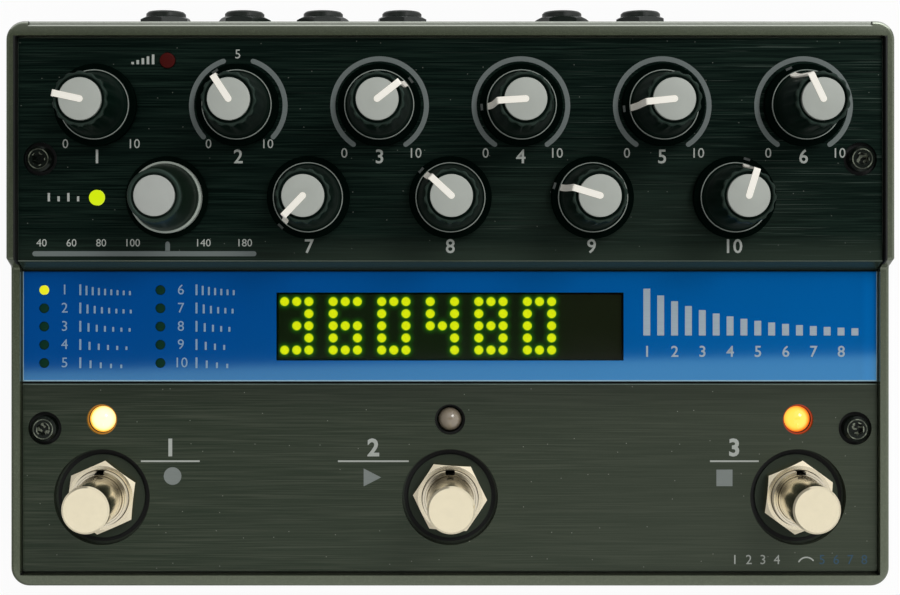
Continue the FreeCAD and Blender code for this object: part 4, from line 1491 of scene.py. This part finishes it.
@dataclass
class Print:
    """The marks printed on the panels and on the display strip."""

    ink: float = 0.02
    arc_radius: float = 10.07
    arc_width: float = 1.07
    rear_row: tuple[float, ...] = (-76.0, -45.6, -15.2, 15.2, 45.6, 76.0)
    arc_ends: Point = (236.0, -56.0)
    split_arcs: tuple[Point, ...] = ((108.4, 222.0), (71.6, -42.0))
    front_row: tuple[float, ...] = (-30.4, 0.0, 30.4, 60.8)
    number_size: float = 4.2
    number_weight: float = 0.05
    number_rows: Point = (29.6, 10.3)
    scale_size: float = 3.0
    scale_side: float = 7.6
    scale_row: float = 30.4
    left_scales: tuple[tuple[float, float, str], ...] = (
        (-82.8, 32.4, "0"), (-68.1, 32.4, "10"), (-52.0, 32.4, "0"), (-39.4, 32.4, "10"),
        (-45.7, 51.7, "5"))
    left_scale_size: float = 2.8
    level_bars: tuple[float, ...] = (0.5, 0.9, 1.3, 1.7, 2.1)
    beat_bars: tuple[float, ...] = (1.8, 1.1, 1.8, 1.1)
    rate_scale: tuple[tuple[float, str], ...] = (
        (-87.9, "40"), (-81.5, "60"), (-75.1, "80"), (-68.4, "100"), (-53.2, "140"),
        (-44.3, "180"))
    switch_labels: tuple[tuple[float, float, str], ...] = (
        (-67.3, -54.5, "1"), (-24.4, -9.0, "2"), (56.6, 67.2, "3"))
    switch_line: Point = (-36.55, -36.19)
    corner_size: float = 2.9
    corner_row: float = -57.9
    mode_columns: tuple[Point, ...] = ((-85.6, 13.0), (-60.3, 10.0))
    echo_start: float = 42.1
    echo_pitch: float = 3.02
    echo_foot: float = -9.0
    fading: float = 0.84

    def plate(self, outline: list[Point], level: float) -> bmesh.types.BMesh:
        """A patch of ink with the given outline on a surface."""
        return slab(outline, level, level + self.ink)

    def bar(self, x: float, y: float, width: float, height: float,
            level: float) -> bmesh.types.BMesh:
        """An upright bar of ink, from its lower left corner."""
        return self.plate(box_outline(x, x + width, y, y + height), level)

    def figures(self, words: str, size: float, middle: Point, level: float,
                weight: float = 0.0) -> bmesh.types.BMesh:
        """Printed figures on a surface."""
        return text_mesh(words, size, middle, level, self.ink, weight)

    def build(self) -> None:
        """Prints every panel."""
        for name, marks, ink in (
                ("rear_panel_scales", self.scales(), ARC_INK),
                ("rear_panel_figures", self.rear_figures(), INK),
                ("front_panel_figures", self.front_figures(), INK),
                ("front_panel_symbols", self.front_symbols(), SYMBOL_INK),
                ("front_panel_page_mark", self.page_mark(), DIM_BLUE_INK),
                ("mode_marks", self.mode_marks(), PALE_BLUE_INK),
                ("echo_marks", self.echo_marks(), LIGHT_BLUE_INK)):
            piece(name, joined(marks), ink, ROOT)

    def arc(self, x: float, ends: Point) -> bmesh.types.BMesh:
        """An arc round a knob of the rear row."""
        return self.plate(arc_outline((x, REAR_ROW), self.arc_radius, self.arc_width, *ends),
                          REAR_TOP)

    def scales(self) -> Iterable[bmesh.types.BMesh]:
        """The arcs round the rear knobs and the bar under the encoder.

        Yields:
            The mesh of each mark.
        """
        for x in self.rear_row[2:]:
            yield self.arc(x, self.arc_ends)
        for ends in self.split_arcs:
            yield self.arc(self.rear_row[1], ends)
        yield self.plate(pill_outline(-89.9, -41.7, 8.84, 1.1), REAR_TOP)
        yield self.plate([(-61.3, 9.45), (-60.3, 9.45), (-60.3, 11.0), (-60.45, 11.35),
                          (-60.8, 11.5), (-61.15, 11.35), (-61.3, 11.0)], REAR_TOP)

    def rear_figures(self) -> Iterable[bmesh.types.BMesh]:
        """The numbers by the knobs, the lamps and the encoder.

        Yields:
            The mesh of each mark.
        """
        rear_numbers, front_numbers = self.number_rows
        for number, x in enumerate(self.rear_row, 1):
            yield self.figures(str(number), self.number_size, (x, rear_numbers), REAR_TOP,
                               self.number_weight)
        for x in self.rear_row[2:]:
            for words, side in (("0", -self.scale_side), ("10", self.scale_side)):
                yield self.figures(words, self.scale_size, (x + side, self.scale_row), REAR_TOP)
        for number, x in enumerate(self.front_row, len(self.rear_row) + 1):
            yield self.figures(str(number), self.number_size, (x, front_numbers), REAR_TOP,
                               self.number_weight)
        for x, y, words in self.left_scales:
            yield self.figures(words, self.left_scale_size, (x, y), REAR_TOP)
        for i, height in enumerate(self.level_bars):
            yield self.bar(-68.6 + 1.1 * i, 49.6, 0.55, height, REAR_TOP)
        for i, height in enumerate(self.beat_bars):
            yield self.bar(-86.6 + 2.1 * i, 20.1, 0.5, height, REAR_TOP)
        for x, words in self.rate_scale:
            yield self.figures(words, 2.3, (x, 11.1), REAR_TOP)

    def front_figures(self) -> Iterable[bmesh.types.BMesh]:
        """The footswitch numbers, their lines and the figures at the front right corner.

        Yields:
            The mesh of each mark.
        """
        for left, right, words in self.switch_labels:
            yield self.plate(box_outline(left, right, *self.switch_line), FRONT_TOP)
            yield self.figures(words, 5.2, ((left + right) / 2, -33.6), FRONT_TOP, 0.16)
        yield self.figures("1  2  3  4", self.corner_size, (66.6, self.corner_row), FRONT_TOP)
        yield self.plate(arc_outline((77.6, -59.2), 1.9, 0.3, 150.0, 40.0), FRONT_TOP)

    def front_symbols(self) -> Iterable[bmesh.types.BMesh]:
        """The dot, triangle and square beside the footswitches.

        Yields:
            The mesh of each mark.
        """
        for outline in (disc_outline((-60.4, -39.6), 1.92),
                        [(-18.8, -37.95), (-18.8, -41.85), (-15.0, -39.9)],
                        box_outline(58.0, 61.5, -41.8, -38.2)):
            yield self.plate(outline, FRONT_TOP)

    def page_mark(self) -> Iterable[bmesh.types.BMesh]:
        """The dim figures at the front right corner."""
        yield self.figures("5  6  7  8", self.corner_size, (85.6, self.corner_row), FRONT_TOP)

    def mode_marks(self) -> Iterable[bmesh.types.BMesh]:
        """Numbers with decaying bars by the mode lamps.

        Yields:
            The mesh of each mark.
        """
        for column, (left, length) in enumerate(self.mode_columns):
            for row in range(MODE_ROWS):
                y = mode_row_place(row)
                number = str(MODE_ROWS * column + row + 1)
                yield self.figures(number, 3.1, (left + 1.7, y), FRONT_TOP)
                pitch = 1.35 + 0.22 * row
                for i in range(int(length / pitch)):
                    height = 0.45 + 1.9 * (self.fading - 0.05 * row) ** i
                    yield self.bar(left + 4.9 + i * pitch, y - 1.12, 0.42, height, FRONT_TOP)

    def echo_marks(self) -> Iterable[bmesh.types.BMesh]:
        """The row of dying echo bars and its number scale.

        Yields:
            The mesh of each mark.
        """
        for i in range(16):
            height = 0.9 + 9.3 * self.fading ** i
            yield self.bar(self.echo_start + i * self.echo_pitch, self.echo_foot, 1.5, height,
                           FRONT_TOP)
        for i in range(8):
            x = self.echo_start + 0.8 + i * 2 * self.echo_pitch
            yield self.figures(str(i + 1), 3.4, (x, -12.6), FRONT_TOP, 0.04)


# Display


@dataclass
class Display:
    """The dot display under its smoked pane."""

    middle: Point = (0.0, STRIP_MIDDLE)
    pane_size: Point = (75.4, 14.6)
    pane_heights: Point = (32.4, 33.2)
    face_size: Point = (74.8, 14.0)
    face_height: float = 32.05
    face_thickness: float = 0.2
    pitch: float = 2.65
    first_dot: Point = (-36.1, -1.65)
    cells_per_dot: int = 12
    dot_radius: float = 1.05
    dot_edge: float = 0.16
    # The halo is painted light round each lit dot.
    halo_radius: float = 2.2
    halo_share: float = 0.5
    figures: str = "360480"
    shapes: dict[str, tuple[str, ...]] = field(default_factory=lambda: {
        "0": ("111", "101", "101", "101", "111"),
        "3": ("111", "001", "011", "001", "111"),
        "4": ("101", "101", "111", "001", "001"),
        "6": ("111", "100", "111", "101", "111"),
        "8": ("111", "101", "111", "101", "111")})

    def lit_dots(self) -> list[Point]:
        """The places of the lit dots.

        Returns:
            The middle of each.
        """
        dots = []
        for index, figure in enumerate(self.figures):
            for row, line in enumerate(self.shapes[figure]):
                for column, mark in enumerate(line):
                    if mark == "1":
                        dots.append(self.dot_place(4 * index + column, row))
        return dots

    def dot_place(self, column: int, row: int) -> Point:
        """The place of a dot."""
        return self.first_dot[0] + column * self.pitch, self.first_dot[1] - row * self.pitch

    def build(self) -> None:
        """Makes the glowing face and the pane."""
        self.make_face()
        self.make_pane()

    def make_face(self) -> None:
        """Makes the face, with the glow of each dot stored on a fine grid."""
        bm = bmesh.new()
        width, depth = self.face_size
        step = self.pitch / self.cells_per_dot
        bmesh.ops.create_grid(bm, x_segments=round(width / step), y_segments=round(depth / step),
                              size=0.5)
        bmesh.ops.scale(bm, vec=(width, depth, 1.0), verts=bm.verts)
        bmesh.ops.translate(bm, vec=(*self.middle, self.face_height + self.face_thickness),
                            verts=bm.verts)
        glow = bm.verts.layers.float.new(GLOW)
        lit = self.lit_dots()
        for vert in bm.verts:
            near = min(math.dist(vert.co.xy, dot) for dot in lit)
            edge = (self.dot_radius + self.dot_edge - near) / (2 * self.dot_edge)
            inside = min(1.0, max(0.0, edge))
            # Painted light: a halo round each lit dot.
            halo = max(0.0, 1.0 - near / self.halo_radius) * self.halo_share
            vert[glow] = max(inside, halo)
        rim = bmesh.ops.extrude_edge_only(bm, edges=[e for e in bm.edges if e.is_boundary])
        skirt = [v for v in rim["geom"] if isinstance(v, bmesh.types.BMVert)]
        bmesh.ops.translate(bm, vec=(0.0, 0.0, -self.face_thickness), verts=skirt)
        piece("display_dots", bm, DISPLAY_FACE, ROOT)

    def make_pane(self) -> None:
        """Makes the smoked pane, which stands for the window."""
        x, y = self.middle
        width, depth = self.pane_size
        bm = slab(box_outline(x - width / 2, x + width / 2, y - depth / 2, y + depth / 2),
                  *self.pane_heights)
        pane = piece("display_pane", bm, SMOKED, ROOT)
        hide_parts("display_window")


# Lamps


@dataclass
class Lamps:
    """The three status lamps and the twelve small lamps."""

    status_radius: float = 2.65
    lit_radius: float = 2.95
    status_base: float = 28.0
    status_top: float = 34.0
    glow_ring: tuple[Point, Point] = ((2.97, 3.28), (32.3, 32.5))
    status_y: float = -27.3
    status_states: tuple[tuple[float, LampState], ...] = (
        (-75.8, LampState.AMBER), (0.0, LampState.CLEAR), (75.8, LampState.ORANGE))
    small_base: float = 31.0
    small_rise: float = 0.06
    mode_radius: float = 1.0
    mode_top: float = 33.35
    mode_columns: Point = (-88.35, -63.05)
    indicator_radius: float = 1.65
    indicator_top: float = 37.7
    red_place: Point = (-60.8, 50.4)
    lime_place: Point = (-76.0, FRONT_ROW)

    def build(self) -> None:
        """Makes every lamp."""
        for number, (x, state) in enumerate(self.status_states, 1):
            lamp = self.dome(f"status_lamp_{number}", (x, self.status_y), state)
            if number == 1:
                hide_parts("status_leds")
            # A lit lamp gets a painted ring of light on its hole.
            if state is not LampState.CLEAR:
                self.glow(f"status_glow_{number}", (x, self.status_y), state)
        radius, top = self.indicator_radius, self.indicator_top
        red = self.small("peak_lamp", self.red_place, radius, top, LampState.RED)
        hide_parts("small_leds")
        self.small("tempo_lamp", self.lime_place, radius, top, LampState.LIME)
        for column, x in enumerate(self.mode_columns):
            for row in range(MODE_ROWS):
                state = LampState.YELLOW if column == row == 0 else LampState.GREEN
                self.small(f"mode_lamp_{MODE_ROWS * column + row + 1}", (x, mode_row_place(row)),
                           self.mode_radius, self.mode_top, state)

    def dome(self, name: str, place: Point, state: LampState) -> bpy.types.Object:
        """Makes a status lamp with a domed lens.

        Args:
            name: The lamp's name.
            place: The place of its axis.
            state: Its state.

        Returns:
            The lamp.
        """
        radius = self.status_radius if state is LampState.CLEAR else self.lit_radius
        crown = (0.0, self.status_top - radius)
        steps = 14
        dome = [around(crown, radius, math.pi / 2 * k / steps) for k in range(steps)]
        section = [(0.0, self.status_base), (radius, self.status_base), *dome,
                   (0.0, self.status_top)]
        return piece(name, spun(section, place, 56), state.value, ROOT)

    def glow(self, name: str, place: Point, state: LampState) -> None:
        """Makes a thin glowing ring on a lit lamp's hole, painted light that stands for the light
        the lamp throws there.

        Args:
            name: The ring's name.
            place: The place of its axis.
            state: The lamp's state.
        """
        section = box_outline(*self.glow_ring[0], *self.glow_ring[1])
        finish = AMBER_GLOW if state is LampState.AMBER else RED_GLOW
        piece(name, spun(section, place, 48, closed=True), finish, ROOT)

    def small(self, name: str, place: Point, radius: float, top: float,
              state: LampState) -> bpy.types.Object:
        """Makes a small lamp with a low rounded lens.

        Args:
            name: The lamp's name.
            place: The place of its axis.
            radius: Its radius.
            top: The height of its middle.
            state: Its state.

        Returns:
            The lamp.
        """
        section = rounded([(0.0, self.small_base), (radius, self.small_base),
                           (radius, top - self.small_rise), (0.0, top)], [0.0, 0.0, 0.12, 0.0])
        return piece(name, spun(section, place, 40), state.value, ROOT)


# Knobs


@dataclass
class Knob:
    """A fluted knob with a grey cap, a cream pointer and an index tick."""

    name: str
    place: Point
    angle: float
    bottom: float = 38.0
    section: tuple[Point, ...] = (
        (0.0, 12.7), (3.02, 12.7), (3.02, 3.4), (6.4, 3.4), (6.4, 0.0), (8.84, 0.0),
        (8.84, 1.5), (7.50, 1.54), (7.48, 2.26), (7.25, 2.28), (7.2, 1.98), (7.1, 1.96),
        (6.62, 3.6), (6.3, 5.4), (6.15, 7.5), (6.02, 10.5), (5.86, 13.4),
        (5.70, 15.86), (4.95, 15.86), (4.95, 14.8), (0.0, 14.8))
    section_radii: tuple[float, ...] = (
        0.0, 0.0, 0.0, 0.0, 0.2, 0.25, 0.3, 0.06, 0.05, 0.04, 0.03, 0.03, 0.8, 0.0, 0.0,
        0.0, 0.0, 0.36, 0.34, 0.1, 0.0)
    section_cuts: int = 4
    steps: int = 168
    flutes: int = 14
    flute_radius: float = 1.3
    flute_depth: float = 0.3
    flute_foot: float = 6.5
    flute_run_out: float = 5.0
    flute_inner: Point = (5.0, 0.45)
    cap_radius: float = 4.39
    cap_heights: Point = (14.8, 16.0)
    cap_round: float = 0.16
    pointer_width: float = 1.37
    pointer_reach: float = 5.94
    pointer_top: float = 16.08
    pointer_bend: float = 0.45
    pointer_thickness: float = 0.45
    pointer_flank: tuple[Point, ...] = (
        (13.4, 6.05), (10.5, 6.2), (7.5, 6.36), (5.4, 6.56), (3.7, 6.9), (2.6, 7.3))
    tick_reach: Point = (8.28, 8.78)
    tick_half: float = 0.7
    tick_heights: Point = (1.2, 1.57)
    shell_finish: Finish = KNOB
    cap_finish: Finish = CAP

    def build(self) -> None:
        """Makes the knob, its cap, its pointer and its tick."""
        body = piece(self.name + "_shell", self.shell(), self.shell_finish, self.name,
                     28.0)
        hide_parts(self.name)
        cap = piece(self.name + "_cap_disc", self.cap(), self.cap_finish, self.name)
        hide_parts(self.name + "_cap")
        self.add_marks()

    def add_marks(self) -> None:
        """Adds the pointer and the index tick."""
        piece(self.name + "_pointer", self.pointer(), POINTER, self.name, 50.0)
        piece(self.name + "_tick", self.tick(), TICK, self.name)

    def shell(self) -> bmesh.types.BMesh:
        """The knob's turned body with its flutes pressed in.

        Returns:
            The mesh in millimetres.
        """
        corners = [(radius, self.bottom + height) for radius, height in self.section]
        bm = spun(rounded(corners, self.section_radii, self.section_cuts), self.place, self.steps)
        if self.flutes:
            self.press_flutes(bm)
        return bm

    def press_flutes(self, bm: bmesh.types.BMesh) -> None:
        """Presses the flutes into the flank.

        Args:
            bm: The knob's body.
        """
        middle = Vector(self.place)
        span = math.tau / self.flutes
        half_width = math.sqrt(2 * self.flute_radius * self.flute_depth)
        start, run_in = self.flute_inner
        for vert in bm.verts:
            arm = vert.co.xy - middle
            radius, height = arm.length, vert.co.z - self.bottom
            if radius < start or height < self.flute_foot:
                continue
            turn = (math.atan2(arm.y, arm.x) - math.radians(self.angle)) % span
            side = min(turn, span - turn)
            across = (span / 2 - side) * radius / half_width
            if across >= 1.0:
                continue
            rise = min(1.0, (height - self.flute_foot) / self.flute_run_out)
            inner = min(1.0, (radius - start) / run_in)
            sink = self.flute_depth * (1.0 - across * across) * rise * inner
            vert.co.xy -= arm.normalized() * sink

    def cap(self) -> bmesh.types.BMesh:
        """The cap's disc.

        Returns:
            The mesh in millimetres.
        """
        low, top = (self.bottom + height for height in self.cap_heights)
        section = rounded([(0.0, low), (self.cap_radius, low), (self.cap_radius, top), (0.0, top)],
                          [0.0, 0.0, self.cap_round, 0.0], 3)
        return spun(section, self.place, 72)

    def pointer_path(self) -> list[Point]:
        """The pointer's line, from its round end over the rim and down the flank.

        Returns:
            The reach and the height of each point.
        """
        half, top, bend = self.pointer_width / 2, self.bottom + self.pointer_top, self.pointer_bend
        knee = self.pointer_reach - bend
        path = [(-half * math.cos(math.pi / 2 * k / 6), top) for k in range(7)]
        path.append((knee, top))
        path += [around((knee, top - bend), bend, math.pi / 2 * (5 - k) / 5) for k in range(1, 6)]
        return path + [(reach, self.bottom + height) for height, reach in self.pointer_flank]

    def pointer(self) -> bmesh.types.BMesh:
        """The pointer: a bar from the middle over the rim and down the flank.

        Returns:
            The mesh in millimetres.
        """
        half = self.pointer_width / 2
        bm = bmesh.new()
        rows = []
        for along, height in self.pointer_path():
            wide = half if along >= 0.0 else math.sqrt(max(0.0, half * half - along * along))
            wide = max(wide, 0.02)
            rows.append([bm.verts.new((along, side * wide, height)) for side in (-1.0, 0.0, 1.0)])
        for first, second in zip(rows, rows[1:]):
            for k in range(2):
                bm.faces.new((first[k], first[k + 1], second[k + 1], second[k]))
        bmesh.ops.recalc_face_normals(bm, faces=bm.faces)
        if sum(face.normal.z for face in bm.faces) < 0:
            bmesh.ops.reverse_faces(bm, faces=bm.faces)
        bmesh.ops.solidify(bm, geom=bm.faces[:], thickness=self.pointer_thickness)
        bmesh.ops.recalc_face_normals(bm, faces=bm.faces)
        turned(bm, (0.0, 0.0), self.angle)
        bmesh.ops.translate(bm, verts=bm.verts, vec=(*self.place, 0.0))
        return bm

    def tick(self) -> bmesh.types.BMesh:
        """The small index tick on the flange's rim.

        Returns:
            The mesh in millimetres.
        """
        x, y = self.place
        near, far = self.tick_reach
        low, top = (self.bottom + height for height in self.tick_heights)
        bm = slab(box_outline(x + near, x + far, y - self.tick_half, y + self.tick_half), low, top)
        turned(bm, self.place, self.angle)
        return bm


@dataclass
class Encoder(Knob):
    """The encoder's smooth knob, which has a lighter cap and no pointer."""

    section: tuple[Point, ...] = (
        (0.0, 12.7), (3.02, 12.7), (3.02, 3.4), (6.4, 3.4), (6.4, 0.0), (8.84, 0.0),
        (8.84, 0.4), (7.66, 0.44), (7.66, 2.45), (7.36, 2.75), (7.2, 2.75),
        (6.9, 4.2), (6.5, 7.5), (6.0, 11.5), (5.55, 15.9), (4.7, 15.9),
        (4.7, 14.8), (0.0, 14.8))
    section_radii: tuple[float, ...] = (
        0.0, 0.0, 0.0, 0.0, 0.1, 0.1, 0.1, 0.05, 0.1, 0.05, 0.05, 0.6, 0.0, 0.0, 0.5, 0.3,
        0.1, 0.0)
    section_cuts: int = 5
    steps: int = 96
    flutes: int = 0
    cap_radius: float = 4.23
    shell_finish: Finish = ENCODER_KNOB
    cap_finish: Finish = ENCODER_CAP

    def add_marks(self) -> None:
        """Adds nothing, as this knob has no pointer."""


@dataclass
class KnobBank:
    """All eleven knobs and their shafts."""

    rear_row: tuple[Point, ...] = (
        (-76.0, 167.7), (-45.6, 123.2), (-15.2, 38.0), (15.2, 183.5), (45.6, 185.9), (76.0, 115.8))
    front_row: tuple[Point, ...] = (
        (-30.4, 226.3), (0.0, 137.2), (30.4, 163.1), (60.8, 72.7))
    encoder_x: float = -60.8

    def build(self) -> None:
        """Makes every knob."""
        for row, y, knobs in (("rear", REAR_ROW, self.rear_row),
                              ("front", FRONT_ROW, self.front_row)):
            for number, (x, angle) in enumerate(knobs, 1):
                name = f"{row}_knob_{number}"
                Knob(name, (x, y), angle).build()
                dress({name + "_shaft": DRAWN_STEEL})
        Encoder("encoder_knob", (self.encoder_x, FRONT_ROW), 0.0).build()
        dress({"encoder_knob_shaft": DRAWN_STEEL})


# Sockets


@dataclass
class Sockets(Dressed):
    """The phone jacks, their nuts and linings, and the power inlet."""

    places: tuple[float, ...] = (-64.1, -46.3, -28.5, -10.7, 25.5, 43.3)
    height: float = 19.6
    mouth_y: float = 63.25
    sleeve_radii: Point = (3.19, 3.24)
    sleeve_depth: Point = (0.6, 6.0)
    finishes: dict[str, Finish] = field(default_factory=lambda: {
        "phone_jacks": MOULDING, "jack_nuts": JACK_NUT, "dc_inlet": MOULDING})

    def build(self) -> None:
        """Dresses the sockets and adds a metal sleeve inside each jack's mouth."""
        super().build()
        for number, x in enumerate(self.places, 1):
            piece(f"jack_sleeve_{number}", self.sleeve(x), SLEEVE, ROOT)

    def sleeve(self, x: float) -> bmesh.types.BMesh:
        """A thin tube inside a jack's bore.

        Args:
            x: The jack's place.

        Returns:
            The tube in millimetres.
        """
        section = box_outline(*self.sleeve_radii, *self.sleeve_depth)
        bm = spun(section, (0.0, 0.0), 48, closed=True)
        bmesh.ops.rotate(bm, verts=bm.verts, cent=(0.0, 0.0, 0.0),
                         matrix=Matrix.Rotation(math.pi / 2, 3, "X"))
        bmesh.ops.translate(bm, verts=bm.verts, vec=(x, self.mouth_y, self.height))
        return bm


def main() -> None:
    """Builds the scene."""
    logging.basicConfig(level=logging.INFO, format="%(name)s %(message)s")
    for assembly in (Studio(), Case(), Inside(), Print(), Display(), Lamps(), KnobBank(),
                     Footswitches(), Sockets()):
        LOG.info("building %s", type(assembly).__name__)
        assembly.build()
    bpy.context.scene.view_settings.view_transform = "Standard"


if __name__ == "__main__":
    main()
